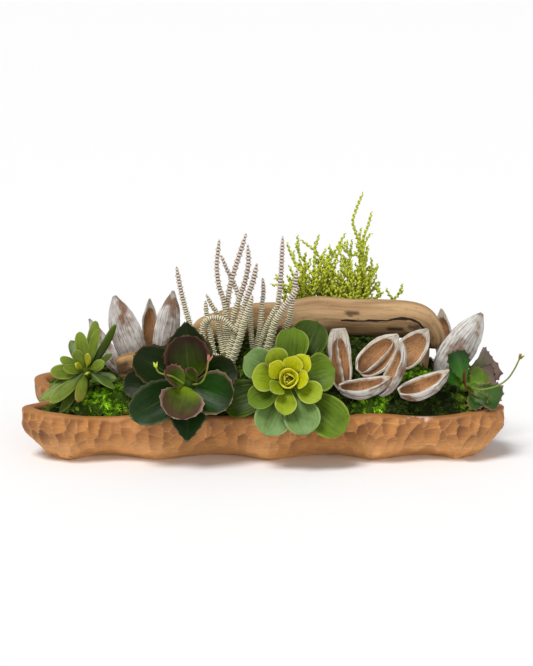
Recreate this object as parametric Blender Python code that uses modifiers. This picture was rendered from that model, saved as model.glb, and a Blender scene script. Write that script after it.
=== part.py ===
"""Succulent dish garden in a hand-carved, lobed wooden bowl.

Metres, +Z up. The origin is the middle of the bowl's flat resting face, +X runs along the bowl
and -Y is its front. The bowl holds a foam block under a moss mat, and everything else stands on
a stem or a pick in a plain hole through the mat, or lies in a groove that its weight has pressed.
"""

import math
from typing import NamedTuple

import bmesh
import bpy
from mathutils import Matrix, Vector, noise

# Driving dimensions
RIM_HEIGHT = 0.074
RIM_DIP = 0.008  # the rim is this much lower in each hollow between two lobes
LIP_DROP = 0.007
RIM_WIDTH = 0.022
# The rim from outside to inside: inset, and how far below the rim's crown
RIM_SECTION = ((0.0, LIP_DROP), (0.005, 0.0), (0.017, 0.0), (RIM_WIDTH, 0.006), (0.027, 0.030))
WALL_SHARES = (1.0, 0.82, 0.56, 0.28)  # heights of the outer wall's rings, from its foot up
FLOOR_THICKNESS = 0.018
FLOOR_INSET = 0.042  # how far the floor's edge lies inside the rim
FOOT_INSET = 0.045  # how far the flat foot lies inside the rim at a lobe
HOLLOW_INSET = 0.012  # and how much further in at a hollow
WALL_CURVE = 2.2
CHISEL_DEPTH = 0.0024
CHISEL_DETAIL = 46.0  # noise cells to the metre
FIT_GAP = 0.0005  # between pieces that lie against each other
MOUND_HEIGHT = 0.149
MOUND_MIDDLE = Vector((0.070, 0.004, 0.0))
MOUND_TOP_LENGTH = 0.310  # the mound's flat top, as shares of the bowl's length and depth
MOUND_TOP_DEPTH = 0.235
MOUND_BULGE = 0.75  # exponent of the mound's slope across the bowl; it is hollower lengthwise
MOUND_HOLLOW = 0.45
MOUND_SHOULDER = 0.35  # share of the mound's slope where the foam has a ring
MAT_THICKNESS = 0.011
MOSS_PILLOW = 0.006  # how much the moss swells just inside the rim
MOSS_RINGS = ((0.09, MOSS_PILLOW), (0.55, 0.0))  # share of the slope, and swelling
MOSS_LUMP = 0.004
MOSS_DETAIL = 38.0  # noise cells to the metre
FILLING_FIT = 0.0018  # room between the bowl's wall and what fills it
# What fills the bowl, from the moss's edge down: inset, and how far below the rim's crown
MOSS_EDGE = (0.0238, 0.004)
FOAM_EDGE = (0.0272, 0.020)
FOAM_SHOULDER = (0.0292, 0.030)
FOAM_FOOT_INSET = 0.0442
PICK_FOOT = 0.034  # height of the lower end of every stem and pick in the foam
HOLE_TOP = 0.190
HOLE_SIDES = 6
HOLE_MARGIN = 0.0008

# Samples between two named points of the rim, round the bowl and round what fills it
BOWL_STEPS = 3
FILLING_STEPS = 2

# The rim's outer edge from above, from the front left lobe anticlockwise: x, y, hollow or not
LOBE = 0.0
HOLLOW = 1.0
RIM_POINTS = (
    (-0.338, -0.098, LOBE),
    (-0.284, -0.150, LOBE),
    (-0.218, -0.137, HOLLOW),
    (-0.146, -0.151, LOBE),
    (-0.066, -0.134, HOLLOW),
    (0.008, -0.152, LOBE),
    (0.090, -0.135, HOLLOW),
    (0.152, -0.151, LOBE),
    (0.224, -0.136, HOLLOW),
    (0.284, -0.143, LOBE),
    (0.338, -0.092, LOBE),
    (0.312, 0.004, HOLLOW),
    (0.335, 0.095, LOBE),
    (0.280, 0.148, LOBE),
    (0.215, 0.136, HOLLOW),
    (0.148, 0.152, LOBE),
    (0.078, 0.136, HOLLOW),
    (0.000, 0.151, LOBE),
    (-0.075, 0.135, HOLLOW),
    (-0.150, 0.152, LOBE),
    (-0.222, 0.138, HOLLOW),
    (-0.290, 0.156, LOBE),
    (-0.345, 0.102, LOBE),
    (-0.306, -0.002, HOLLOW),
)
SPINE_HALF = 0.215  # half the straight line inside the bowl that its walls lean towards


class Finish(NamedTuple):
    """Colour and roughness of one material."""

    color: tuple
    roughness: float


FINISHES = {
    "bowl_wood": Finish((0.48, 0.24, 0.10), 0.70),
    "foam": Finish((0.10, 0.16, 0.08), 0.95),
    "moss": Finish((0.10, 0.22, 0.02), 0.95),
    "driftwood": Finish((0.42, 0.29, 0.17), 0.80),
    "husk": Finish((0.55, 0.50, 0.45), 0.85),
    "lime_succulent": Finish((0.28, 0.42, 0.07), 0.45),
    "olive_succulent": Finish((0.16, 0.28, 0.06), 0.45),
    "dark_succulent": Finish((0.05, 0.11, 0.04), 0.35),
    "ringed_stem": Finish((0.58, 0.54, 0.40), 0.75),
    "lime_twig": Finish((0.42, 0.52, 0.05), 0.70),
}


class Leaf(NamedTuple):
    """One leaf of a rosette.

    around is its direction seen along the rosette's axis, 0 to the right and 90 up, in degrees;
    rise and tip_rise are its slope out of the rosette's plane at its root and tip, in degrees;
    set_back is how far behind the rosette's middle it grows, twist its turn about its own line,
    and point how sharply a broad leaf narrows to its tip.
    """

    around: float
    length: float
    width: float
    rise: float
    tip_rise: float
    set_back: float = 0.0
    twist: float = 0.0
    point: float = 0.0


class LeafForm(NamedTuple):
    """What a plant's leaves share: how thick and cupped they are, and their outline.

    blunt says how fast a leaf widens from its root, waist how wide its root stays, and teeth how
    far its notched edge goes in and out, both as shares of its half width.
    """

    thickness: float
    cup: float
    blunt: float
    waist: float = 0.22
    teeth: float = 0.0


class Rosette(NamedTuple):
    """Where a rosette sits, which way it faces, and where its stem goes down.

    foot is the place of the stem's hole, at the height where the stem bends down into it.
    """

    middle: Vector
    turn: float
    tilt: float
    foot: Vector
    core_radius: float
    stem_radius: float


# Rosettes
LEAF_ROOT = 0.62  # leaves begin at this share of their heart's radius, inside it
LEAF_STEPS = 8  # stretches that a leaf's bent middle line is added up from
TIP_ROUNDNESS = 0.42  # exponent of a leaf's outline at its tip; less is blunter
TIP_THINNING = 0.45  # share of its thickness that a fleshy leaf loses towards its tip
TOOTH_ROWS = 5
TOOTH_PACKING = 1.35  # exponent that sets a toothed leaf's rows closer towards its tip
TOOTHED_END = 0.985  # share of its length where a toothed leaf's outline ends
NOTCH_SHARE = 0.6  # depth of a notch, as a share of a tooth's
CORE_FRONT = 0.6  # how far a rosette's heart stands out, as a share of its radius
CORE_BACK = 0.35  # and how far it goes on behind the hindmost leaf, as a share of its length
STEM_REACH = 0.004  # how far behind the heart its stem starts to bend down

ECHEVERIA_FORM = LeafForm(thickness=0.0034, cup=0.7, blunt=0.95, waist=0.30)
PADDLE_FORM = LeafForm(thickness=0.0050, cup=0.25, blunt=0.75, waist=0.34)
DARK_FORM = LeafForm(thickness=0.0016, cup=0.8, blunt=0.62, teeth=0.05)
SMALL_FORM = LeafForm(thickness=0.0016, cup=0.9, blunt=1.0, teeth=0.08)
LONG_LEAF = 0.06  # a leaf longer than this has one more ring

ECHEVERIA = Rosette(
    middle=Vector((0.034, -0.152, 0.123)),
    turn=0.0,
    tilt=24.0,
    foot=Vector((0.030, -0.098, 0.108)),
    core_radius=0.010,
    stem_radius=0.0042,
)
ECHEVERIA_LEAVES = (
    # outermost, dark and broad
    Leaf(65, 0.093, 0.052, -4, 8, 0.014),
    Leaf(-43, 0.102, 0.056, 0, 6, 0.012),
    Leaf(-106, 0.086, 0.060, 2, 10, 0.012),
    Leaf(198, 0.094, 0.052, -10, 0, 0.022),
    Leaf(118, 0.092, 0.054, 4, -95, 0.014),
    # second round
    Leaf(84, 0.073, 0.046, 6, 18, 0.007),
    Leaf(13, 0.065, 0.054, 4, 16, 0.008),
    Leaf(-71, 0.080, 0.050, 6, 16, 0.006),
    Leaf(152, 0.068, 0.046, 4, 18, 0.008),
    Leaf(212, 0.064, 0.036, 8, 20, 0.006),
    # third round
    Leaf(177, 0.052, 0.040, 16, 28, 0.004),
    Leaf(121, 0.051, 0.033, 22, 38, 0.002),
    Leaf(-96, 0.056, 0.030, 20, 32, 0.002),
    Leaf(-33, 0.055, 0.034, 18, 30, 0.003),
    # fourth round
    Leaf(145, 0.040, 0.027, 36, 54),
    Leaf(221, 0.042, 0.026, 36, 60),
    Leaf(-8, 0.038, 0.027, 42, 60),
    Leaf(72, 0.040, 0.028, 38, 56),
    Leaf(46, 0.048, 0.028, 32, 48),
    # the cup in the middle
    Leaf(100, 0.021, 0.019, 55, 95),
    Leaf(172, 0.021, 0.019, 55, 95),
    Leaf(244, 0.021, 0.019, 55, 95),
    Leaf(316, 0.021, 0.019, 55, 95),
    Leaf(28, 0.021, 0.019, 55, 95),
)

PADDLE_PLANT = Rosette(
    middle=Vector((-0.246, -0.100, 0.126)),
    turn=-8.0,
    tilt=34.0,
    foot=Vector((-0.246, -0.082, 0.104)),
    core_radius=0.008,
    stem_radius=0.0035,
)
PADDLE_LEAVES = (
    Leaf(104, 0.056, 0.019, 10, 24, 0.002),
    Leaf(86, 0.076, 0.018, 2, 14, 0.010),
    Leaf(76, 0.060, 0.014, 14, 24, 0.002),
    Leaf(62, 0.079, 0.013, 4, 24, 0.010, 50),
    Leaf(124, 0.034, 0.016, 34, 50),
    Leaf(158, 0.042, 0.015, 14, 26, 0.006),
    Leaf(189, 0.050, 0.023, 10, 24, 0.004),
    Leaf(190, 0.034, 0.015, 32, 44),
    Leaf(209, 0.058, 0.016, 0, 10, 0.010),
    Leaf(219, 0.076, 0.017, 2, 12, 0.006),
    Leaf(233, 0.070, 0.020, 8, 18, 0.002),
    Leaf(244, 0.070, 0.014, 0, 6, 0.010),
    Leaf(268, 0.056, 0.016, 14, 24, 0.0, -30),
    Leaf(14, 0.034, 0.015, 26, 40, 0.0, 20),
    Leaf(-30, 0.050, 0.013, 4, -4, 0.002, -30),
    Leaf(36, 0.044, 0.010, 10, 20, 0.008),
    Leaf(122, 0.062, 0.018, -10, 0, 0.016),
    Leaf(352, 0.042, 0.014, -6, 4, 0.014),
    Leaf(75, 0.028, 0.010, 44, 66),
    Leaf(164, 0.022, 0.010, 54, 76),
    Leaf(300, 0.020, 0.009, 54, 76),
)

DARK_PLANT = Rosette(
    middle=Vector((-0.101, -0.148, 0.118)),
    turn=0.0,
    tilt=20.0,
    foot=Vector((-0.104, -0.095, 0.106)),
    core_radius=0.009,
    stem_radius=0.0042,
)
DARK_LEAVES = (
    Leaf(94, 0.088, 0.058, -6, 4, 0.020, 0.0, 1.5),
    Leaf(94, 0.067, 0.062, 16, 20, 0.006),
    Leaf(252, 0.060, 0.060, 22, 34, 0.0),
    Leaf(172, 0.040, 0.029, 38, 60, 0.0, 20),
    Leaf(60, 0.030, 0.022, 44, 74, 0.0, -20),
    Leaf(151, 0.086, 0.056, -4, 8, 0.014),
    Leaf(211, 0.092, 0.056, 4, 12, 0.008),
    Leaf(268, 0.078, 0.056, 2, 8, 0.012, 0.0, 1.3),
    Leaf(-24, 0.066, 0.062, 12, 20, 0.004),
    Leaf(20, 0.068, 0.050, 0, 10, 0.012),
    Leaf(177, 0.094, 0.050, -14, -6, 0.022),
)

SMALL_PLANT = Rosette(
    middle=Vector((0.284, -0.110, 0.106)),
    turn=22.0,
    tilt=22.0,
    foot=Vector((0.272, -0.085, 0.100)),
    core_radius=0.006,
    stem_radius=0.0035,
)
SMALL_LEAVES = (
    Leaf(108, 0.056, 0.034, 2, 14, 0.006, -20),
    Leaf(50, 0.064, 0.060, -4, 4, 0.010, 20),
    Leaf(50, 0.030, 0.028, 26, 40, 0.0),
    Leaf(-34, 0.048, 0.045, 14, 20, 0.0),
    Leaf(-74, 0.036, 0.030, 16, 28, 0.002, 20),
    Leaf(226, 0.034, 0.034, 30, 62, 0.0, 20),
    Leaf(150, 0.034, 0.030, -14, -6, 0.018),
)


class Sprig(NamedTuple):
    """A thin flower stalk: the points that it follows and the length of its buds."""

    route: tuple
    bud: float


DARK_SPRIGS = (
    Sprig((
        (-0.108, -0.150, 0.118), (-0.122, -0.160, 0.130), (-0.132, -0.166, 0.134),
        (-0.141, -0.171, 0.139), (-0.144, -0.174, 0.146),
    ), 0.009),
    Sprig((
        (-0.098, -0.147, 0.116), (-0.084, -0.158, 0.122), (-0.077, -0.162, 0.136),
        (-0.074, -0.164, 0.152),
    ), 0.011),
)
SMALL_SPRIGS = (
    Sprig((
        (0.284, -0.112, 0.104), (0.291, -0.128, 0.101), (0.306, -0.132, 0.102),
        (0.322, -0.132, 0.107), (0.335, -0.130, 0.118), (0.344, -0.128, 0.132),
        (0.349, -0.127, 0.143),
    ), 0.010),
)


STALK_RADIUS = 0.0012
STALK_END = 0.0009
BUD_RADIUS = 0.0018
BUD_END = 0.0006
BUD_LEANS = (-0.7, 0.0, 0.7)
BUD_WIDEST = 0.6  # share of a bud's length
BUD_OVERLAP = 0.001  # how far a bud starts inside its stalk


class RingedStem(NamedTuple):
    """One ringed stem: its radius at the root and the points that it runs through."""

    radius: float
    route: tuple


BEAD_SPACING = 0.0144
BEAD_WAIST = 0.66  # radius between two beads, as a share of a bead's
STEM_FULLNESS = 1.25
STEM_TAPER = 0.42
STEM_END = 0.45
STEM_PEG_RADIUS = 0.0055
BRANCHING_HEIGHT = 0.20  # a stem that starts higher than this grows from another stem

# Bunches of ringed stems: the place of their root, and the stems
STEM_CLUSTERS = {
    "ringed_stems_left": ((-0.055, -0.055, 0.132), (
        RingedStem(0.0046, (
            (-0.049, -0.050, 0.150), (-0.052, -0.052, 0.191), (-0.056, -0.054, 0.217),
            (-0.062, -0.056, 0.236), (-0.065, -0.058, 0.263), (-0.063, -0.060, 0.288),
            (-0.061, -0.062, 0.304),
        )),
        RingedStem(0.0050, (
            (-0.054, -0.050, 0.139), (-0.053, -0.048, 0.180), (-0.051, -0.047, 0.207),
            (-0.047, -0.045, 0.234), (-0.041, -0.043, 0.256), (-0.032, -0.042, 0.284),
            (-0.024, -0.040, 0.309),
        )),
        RingedStem(0.0036, (
            (-0.034, -0.048, 0.216), (-0.040, -0.043, 0.235), (-0.051, -0.039, 0.257),
            (-0.060, -0.034, 0.278),
        )),
        RingedStem(0.0050, (
            (-0.050, -0.048, 0.144), (-0.046, -0.048, 0.180), (-0.039, -0.049, 0.203),
            (-0.032, -0.049, 0.224), (-0.025, -0.049, 0.246), (-0.021, -0.050, 0.269),
            (-0.022, -0.050, 0.295),
        )),
        RingedStem(0.0056, (
            (-0.049, -0.056, 0.137), (-0.040, -0.059, 0.168), (-0.030, -0.062, 0.195),
            (-0.024, -0.064, 0.219), (-0.015, -0.067, 0.244), (-0.009, -0.070, 0.271),
        )),
        RingedStem(0.0056, (
            (-0.045, -0.060, 0.131), (-0.034, -0.067, 0.162), (-0.026, -0.073, 0.191),
            (-0.015, -0.080, 0.227),
        )),
        RingedStem(0.0042, (
            (-0.063, -0.050, 0.173), (-0.065, -0.053, 0.197), (-0.072, -0.057, 0.209),
            (-0.080, -0.060, 0.226),
        )),
        RingedStem(0.0046, (
            (-0.068, -0.055, 0.134), (-0.075, -0.059, 0.172), (-0.079, -0.062, 0.194),
            (-0.081, -0.066, 0.218),
        )),
        RingedStem(0.0046, (
            (-0.078, -0.058, 0.143), (-0.085, -0.061, 0.168), (-0.083, -0.063, 0.185),
            (-0.073, -0.066, 0.193), (-0.058, -0.069, 0.193), (-0.048, -0.071, 0.186),
            (-0.038, -0.074, 0.176),
        )),
    )),
    "ringed_stems_right": ((0.002, -0.050, 0.137), (
        RingedStem(0.0046, (
            (0.001, -0.045, 0.143), (0.011, -0.044, 0.179), (0.019, -0.043, 0.203),
            (0.023, -0.042, 0.229), (0.025, -0.041, 0.257), (0.027, -0.040, 0.305),
        )),
        RingedStem(0.0044, (
            (-0.009, -0.048, 0.144), (-0.005, -0.049, 0.173), (-0.002, -0.050, 0.208),
            (0.000, -0.051, 0.228), (-0.001, -0.052, 0.248),
        )),
        RingedStem(0.0058, (
            (0.006, -0.052, 0.148), (0.016, -0.059, 0.184), (0.030, -0.065, 0.210),
            (0.049, -0.072, 0.238),
        )),
        RingedStem(0.0048, (
            (0.018, -0.045, 0.151), (0.029, -0.046, 0.170), (0.037, -0.046, 0.190),
            (0.041, -0.047, 0.216), (0.045, -0.047, 0.240), (0.047, -0.048, 0.260),
        )),
        RingedStem(0.0042, (
            (-0.006, -0.050, 0.145), (0.003, -0.055, 0.177), (0.018, -0.060, 0.209),
        )),
        RingedStem(0.0042, (
            (-0.012, -0.045, 0.138), (-0.017, -0.045, 0.165), (-0.018, -0.045, 0.207),
        )),
    )),
    "ringed_stem_single": ((-0.092, -0.045, 0.124), (
        RingedStem(0.0048, (
            (-0.094, -0.045, 0.143), (-0.104, -0.044, 0.181), (-0.111, -0.043, 0.206),
            (-0.118, -0.041, 0.237), (-0.122, -0.040, 0.262),
        )),
    )),
}

# Lime twigs: the place of their root, and the tips that the main twigs reach
TWIG_BUNCHES = {
    "lime_twigs_left": ((0.062, 0.082), (
        (0.050, 0.070, 0.289), (0.034, 0.076, 0.281), (0.055, 0.084, 0.282), (0.073, 0.086, 0.282),
        (0.014, 0.072, 0.225), (0.040, 0.092, 0.240), (0.066, 0.100, 0.252),
    )),
    "lime_twigs_middle": ((0.104, 0.078), (
        (0.119, 0.070, 0.297), (0.096, 0.078, 0.276), (0.124, 0.083, 0.280), (0.094, 0.056, 0.252),
        (0.112, 0.100, 0.268), (0.134, 0.066, 0.276), (0.098, 0.110, 0.240),
    )),
    "lime_twigs_right": ((0.142, 0.080), (
        (0.144, 0.074, 0.355), (0.157, 0.080, 0.328), (0.143, 0.086, 0.305), (0.157, 0.066, 0.298),
        (0.168, 0.082, 0.249), (0.171, 0.072, 0.220), (0.205, 0.078, 0.220), (0.160, 0.104, 0.256),
    )),
}
TWIG_RADIUS = 0.0024
TWIG_KNOB = 1.25  # radius at a knob and between two, as shares of the twig's
TWIG_WAIST = 0.75
TWIG_TAPER = 0.5
TWIG_WOBBLE = 0.0011
TWIG_TURN = 2.4  # how far round the twig the next knob stands out, in radians
TWIG_BOW = 0.006
TWIG_KNOBS = 6
SIDE_TWIG_KNOBS = 3
SIDE_TWIG_BOW = 0.002
SIDE_TWIG_LENGTH = 0.30  # as a share of its main twig's
SIDE_TWIG_LEAN = 0.55
SIDE_TWIG_DEPTH_LEAN = 0.25
TWIG_SIDEWAYS = Vector((0.3, 1.0, 0.2))  # a twig bows and branches square to this
TWIG_ROOT_HEIGHT = 0.124
TWIG_PEG_RADIUS = 0.0040
PEG_OVERLAP = 0.010  # how far a bunch's peg goes up into its root

# Driftwood: the middle line and the radius along it
LOG_LINE = (
    (-0.098, 0.026, 0.1535, 0.012),
    (-0.086, 0.024, 0.1575, 0.020),
    (-0.060, 0.022, 0.1635, 0.024),
    (-0.020, 0.020, 0.1720, 0.0255),
    (0.030, 0.019, 0.1760, 0.025),
    (0.075, 0.020, 0.1805, 0.028),
    (0.125, 0.020, 0.1785, 0.027),
    (0.170, 0.021, 0.1765, 0.027),
    (0.206, 0.021, 0.1750, 0.027),
    (0.225, 0.020, 0.1705, 0.026),
    (0.237, 0.020, 0.1610, 0.022),
    (0.2445, 0.019, 0.1500, 0.017),
    (0.247, 0.018, 0.1410, 0.012),
    (0.247, 0.018, 0.1355, 0.007),
)
LOG_LEG = (
    (0.214, 0.026, 0.168, 0.012),
    (0.224, 0.028, 0.142, 0.011),
    (0.226, 0.030, 0.112, 0.010),
    (0.228, 0.032, 0.086, 0.008),
)
BRANCH_LINE = (
    (-0.209, -0.028, 0.108, 0.019),
    (-0.190, -0.027, 0.113, 0.022),
    (-0.160, -0.024, 0.117, 0.023),
    (-0.128, -0.020, 0.119, 0.021),
    (-0.108, -0.016, 0.121, 0.016),
)
WOOD_GNARL = 0.0016
WOOD_GRAIN = Vector((14.0, 42.0, 42.0))  # noise cells to the metre
LOG_SEAT = 0.0010  # how much wider the log's groove is than the log's even form
LEG_ROOM = 0.004  # depth of the leg's hole below the leg
BRANCH_HOLLOW = 0.014  # depth of the rotten hollow in the branch's left end
HOLLOW_MOUTH = 0.72  # radii of the hollow's mouth and floor, as shares of the branch's
HOLLOW_FLOOR = 0.45
HOLLOW_REACH = 0.010  # how far the hollow's cutter stands out of the branch


class Husk(NamedTuple):
    """Half of a dry pod: its ends, the way its inside faces, and its size.

    pick_share is the share of its length where its pick leaves its back, straight down, and
    pick_side how far to one side of its middle that is, as a share of its width. blunt is how
    much wider its crown is than the profile says, as a share of its half width.
    """

    root: Vector
    tip: Vector
    faces: Vector
    width: float
    depth: float
    chambers: int
    pick_share: float = 0.1
    pick_side: float = 0.0
    blunt: float = 0.0


HUSKS = {
    "husk_front_1": Husk(
        Vector((0.111, -0.102, 0.098)), Vector((0.104, -0.090, 0.183)), Vector((0.30, -0.90, 0.25)),
        width=0.035, depth=0.015, chambers=2, pick_share=0.12, blunt=0.30,
    ),
    "husk_front_2": Husk(
        Vector((0.134, -0.086, 0.119)), Vector((0.188, -0.079, 0.172)), Vector((-0.20, -0.92, 0.30)),
        width=0.045, depth=0.015, chambers=2, pick_share=0.12,
    ),
    "husk_front_3": Husk(
        Vector((0.188, -0.064, 0.124)), Vector((0.232, -0.054, 0.175)), Vector((-0.22, -0.93, 0.10)),
        width=0.041, depth=0.012, chambers=1, pick_share=0.12,
    ),
    "husk_front_4": Husk(
        Vector((0.158, -0.114, 0.094)), Vector((0.192, -0.099, 0.167)), Vector((-0.90, -0.38, 0.24)),
        width=0.034, depth=0.018, chambers=1, pick_share=0.12,
    ),
    "husk_front_5": Husk(
        Vector((0.104, -0.118, 0.107)), Vector((0.176, -0.123, 0.122)), Vector((-0.10, -0.36, 0.93)),
        width=0.032, depth=0.022, chambers=1, pick_share=0.36, pick_side=0.10,
    ),
    "husk_front_6": Husk(
        Vector((0.186, -0.122, 0.101)), Vector((0.256, -0.115, 0.130)), Vector((-0.27, -0.42, 0.86)),
        width=0.036, depth=0.023, chambers=1, pick_share=0.36, pick_side=0.10,
    ),
    "husk_left_1": Husk(
        Vector((-0.180, 0.030, 0.101)), Vector((-0.217, 0.038, 0.207)), Vector((0.15, 0.95, 0.10)),
        width=0.046, depth=0.012, chambers=1, pick_share=0.08,
    ),
    "husk_left_2": Husk(
        Vector((-0.164, 0.058, 0.112)), Vector((-0.167, 0.060, 0.199)), Vector((0.30, -0.90, 0.15)),
        width=0.024, depth=0.008, chambers=1, pick_share=0.08,
    ),
    "husk_left_3": Husk(
        Vector((-0.150, 0.034, 0.112)), Vector((-0.131, 0.040, 0.214)), Vector((-0.10, 0.95, 0.10)),
        width=0.037, depth=0.011, chambers=1, pick_share=0.08,
    ),
    "husk_left_4": Husk(
        Vector((-0.202, 0.012, 0.094)), Vector((-0.252, 0.022, 0.176)), Vector((0.25, 0.90, 0.30)),
        width=0.028, depth=0.009, chambers=1, pick_share=0.08,
    ),
    "husk_right_1": Husk(
        Vector((0.249, -0.034, 0.105)), Vector((0.312, -0.012, 0.190)), Vector((-0.20, 0.95, -0.10)),
        width=0.046, depth=0.013, chambers=1, pick_share=0.08,
    ),
    "husk_right_2": Husk(
        Vector((0.268, 0.056, 0.097)), Vector((0.260, 0.060, 0.184)), Vector((-0.25, -0.92, 0.10)),
        width=0.028, depth=0.009, chambers=1, pick_share=0.08,
    ),
}
HUSK_WALL = 0.0030
HUSK_FULLNESS = 0.8  # exponent that makes a husk's depth follow its breadth
HUSK_ARCH = 0.05  # share of its length that a husk bows
# From a husk's root to its tip: share of its length, and shares of the half width, of the hollow's
# half width and of the hollow's depth
HUSK_PROFILE = (
    (0.00, 0.38, 0.10, 0.0),
    (0.14, 0.80, 0.60, 0.7),
    (0.40, 1.00, 0.80, 1.0),
    (0.64, 0.90, 0.62, 0.8),
    (0.85, 0.55, 0.14, 0.0),
    (1.00, 0.12, 0.04, 0.0),
)
HUSK_SPREAD = (-1.0, -0.62, 0.0, 0.62, 1.0)  # places across a hollow, as shares of its half width
# The hollow's depth at those places, as shares of its deepest
ONE_CHAMBER = (0.0, 0.75, 1.0, 0.75, 0.0)
TWO_CHAMBERS = (0.0, 1.0, 0.12, 1.0, 0.0)
PICK_RADIUS = 0.0020
PICK_SEAT = 0.80  # depth in the husk's back where its pick starts
HUSK_PICK_FOOT = 0.058


# Collections and materials
def clear_scene():
    """Removes what the startup scene holds."""
    for obj in list(bpy.data.objects):
        bpy.data.objects.remove(obj)


def collection(name, hidden=False):
    """A new collection under the scene's own, left out of renders if hidden."""
    made = bpy.data.collections.new(name)
    bpy.context.scene.collection.children.link(made)
    made.hide_render = hidden
    return made


def material(name):
    """The named finish as a Principled BSDF."""
    found = bpy.data.materials.get(name)
    if found:
        return found
    made = bpy.data.materials.new(name)
    made.use_nodes = True
    finish = FINISHES[name]
    shader = made.node_tree.nodes["Principled BSDF"]
    shader.inputs["Base Color"].default_value = (*finish.color, 1.0)
    shader.inputs["Roughness"].default_value = finish.roughness
    shader.inputs["Metallic"].default_value = 0.0
    return made


def mesh_object(name, bm, into):
    """Makes an object of a bmesh, with its normals set outwards."""
    bmesh.ops.recalc_face_normals(bm, faces=bm.faces)
    if bm.calc_volume(signed=True) < 0.0:
        bmesh.ops.reverse_faces(bm, faces=bm.faces)
    mesh = bpy.data.meshes.new(name)
    bm.to_mesh(mesh)
    bm.free()
    obj = bpy.data.objects.new(name, mesh)
    into.objects.link(obj)
    return obj


def dress(obj, finish, smooth_angle=40.0):
    """Gives an object its material and smooth shading."""
    obj.data.materials.clear()
    obj.data.materials.append(material(finish))
    obj.data.shade_smooth()
    obj.data.set_sharp_from_angle(angle=math.radians(smooth_angle))


# Shapes
def loft(name, rings, into):
    """Joins rings of as many points each into one closed body, with a flat cap at both ends."""
    bm = bmesh.new()
    rows = [[bm.verts.new(point) for point in ring] for ring in rings]
    count = len(rows[0])
    for low, high in zip(rows, rows[1:]):
        for i in range(count):
            j = (i + 1) % count
            bm.faces.new((low[i], low[j], high[j]))
            bm.faces.new((low[i], high[j], high[i]))
    bm.faces.new(rows[0])
    bm.faces.new(rows[-1])
    return mesh_object(name, bm, into)


def tube(name, route, radii, into, sides=1):
    """A closed tube along a route, made from a curve. sides is the curve's bevel resolution."""
    data = bpy.data.curves.new(name, "CURVE")
    data.dimensions = "3D"
    data.bevel_depth = 1.0
    data.bevel_resolution = sides
    data.use_fill_caps = True
    line = data.splines.new("POLY")
    line.points.add(len(route) - 1)
    for point, place, radius in zip(line.points, route, radii):
        point.co = (*place, 1.0)
        point.radius = radius
    curve = bpy.data.objects.new(name, data)
    into.objects.link(curve)
    bpy.context.view_layer.update()
    graph = bpy.context.evaluated_depsgraph_get()
    mesh = bpy.data.meshes.new_from_object(curve.evaluated_get(graph))
    bm = bmesh.new()
    bm.from_mesh(mesh)
    bmesh.ops.remove_doubles(bm, verts=bm.verts, dist=1e-6)
    bpy.data.meshes.remove(mesh)
    bpy.data.objects.remove(curve)
    return mesh_object(name, bm, into)


def smooth_route(points, steps):
    """Points on a smooth curve through the given ones, steps to each stretch, as tuples."""
    made = []
    last = len(points) - 1
    for i in range(last):
        before, start, end, after = (points[max(0, min(last, i + k))] for k in (-1, 0, 1, 2))
        for step in range(steps):
            made.append(spline_point(before, start, end, after, step / steps))
    made.append(tuple(points[last]))
    return made


def spline_point(before, start, end, after, t):
    """The Catmull-Rom curve's point between start and end."""
    made = []
    for a, b, c, d in zip(before, start, end, after):
        bend = (2 * a - 5 * b + 4 * c - d) * t * t + (3 * b - a - 3 * c + d) * t ** 3
        made.append(0.5 * (2 * b + (c - a) * t + bend))
    return tuple(made)


def evenly_along(points, spacing):
    """Points at an even spacing along a fine route, its ends included."""
    lengths = [0.0]
    for a, b in zip(points, points[1:]):
        lengths.append(lengths[-1] + (Vector(b) - Vector(a)).length)
    count = max(2, round(lengths[-1] / spacing))
    made = []
    k = 0
    for i in range(count + 1):
        at = lengths[-1] * i / count
        while k < len(points) - 2 and lengths[k + 1] < at:
            k += 1
        share = (at - lengths[k]) / max(lengths[k + 1] - lengths[k], 1e-9)
        made.append(Vector(points[k]).lerp(Vector(points[k + 1]), min(1.0, share)))
    return made


def fuse(name, pieces, finish, into):
    """Joins pieces that run into each other into one body, by one Boolean union on a collection."""
    first = pieces[0]
    first.name = name
    for owner in list(first.users_collection):
        owner.objects.unlink(first)
    into.objects.link(first)
    if len(pieces) > 1:
        others = bpy.data.collections.new(name + "_pieces")
        bpy.context.scene.collection.children.link(others)
        for piece in pieces[1:]:
            for owner in list(piece.users_collection):
                owner.objects.unlink(piece)
            others.objects.link(piece)
        union = first.modifiers.new("join", "BOOLEAN")
        union.operation = "UNION"
        union.operand_type = "COLLECTION"
        union.collection = others
        union.solver = "MANIFOLD"
        apply_modifiers(first)
        for piece in list(others.objects):
            bpy.data.objects.remove(piece)
        bpy.data.collections.remove(others)
    dress(first, finish)
    return first


def cut(obj, cutters):
    """Cuts a collection of cutters from an object, by a Boolean that stays on it."""
    holes = obj.modifiers.new("holes", "BOOLEAN")
    holes.operation = "DIFFERENCE"
    holes.operand_type = "COLLECTION"
    holes.collection = cutters
    holes.solver = "MANIFOLD"


# Bowl, foam and moss
def rim_outline(steps):
    """The rim's outer edge: (place, inward direction, hollow share) round the bowl."""
    count = len(RIM_POINTS)
    edge = []
    for i in range(count):
        around = [RIM_POINTS[(i + k) % count] for k in (-1, 0, 1, 2)]
        for step in range(steps):
            edge.append(spline_point(*around, step / steps))
    made = []
    for i, (x, y, hollow) in enumerate(edge):
        ahead, behind = edge[(i + 1) % len(edge)], edge[i - 1]
        square = Vector((behind[1] - ahead[1], ahead[0] - behind[0])).normalized()
        nearest = Vector((max(-SPINE_HALF, min(SPINE_HALF, x)), 0.0))
        homeward = (nearest - Vector((x, y))).normalized()
        inward = (square + homeward).normalized()
        made.append((Vector((x, y)), inward, max(0.0, min(1.0, hollow))))
    return made


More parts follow.
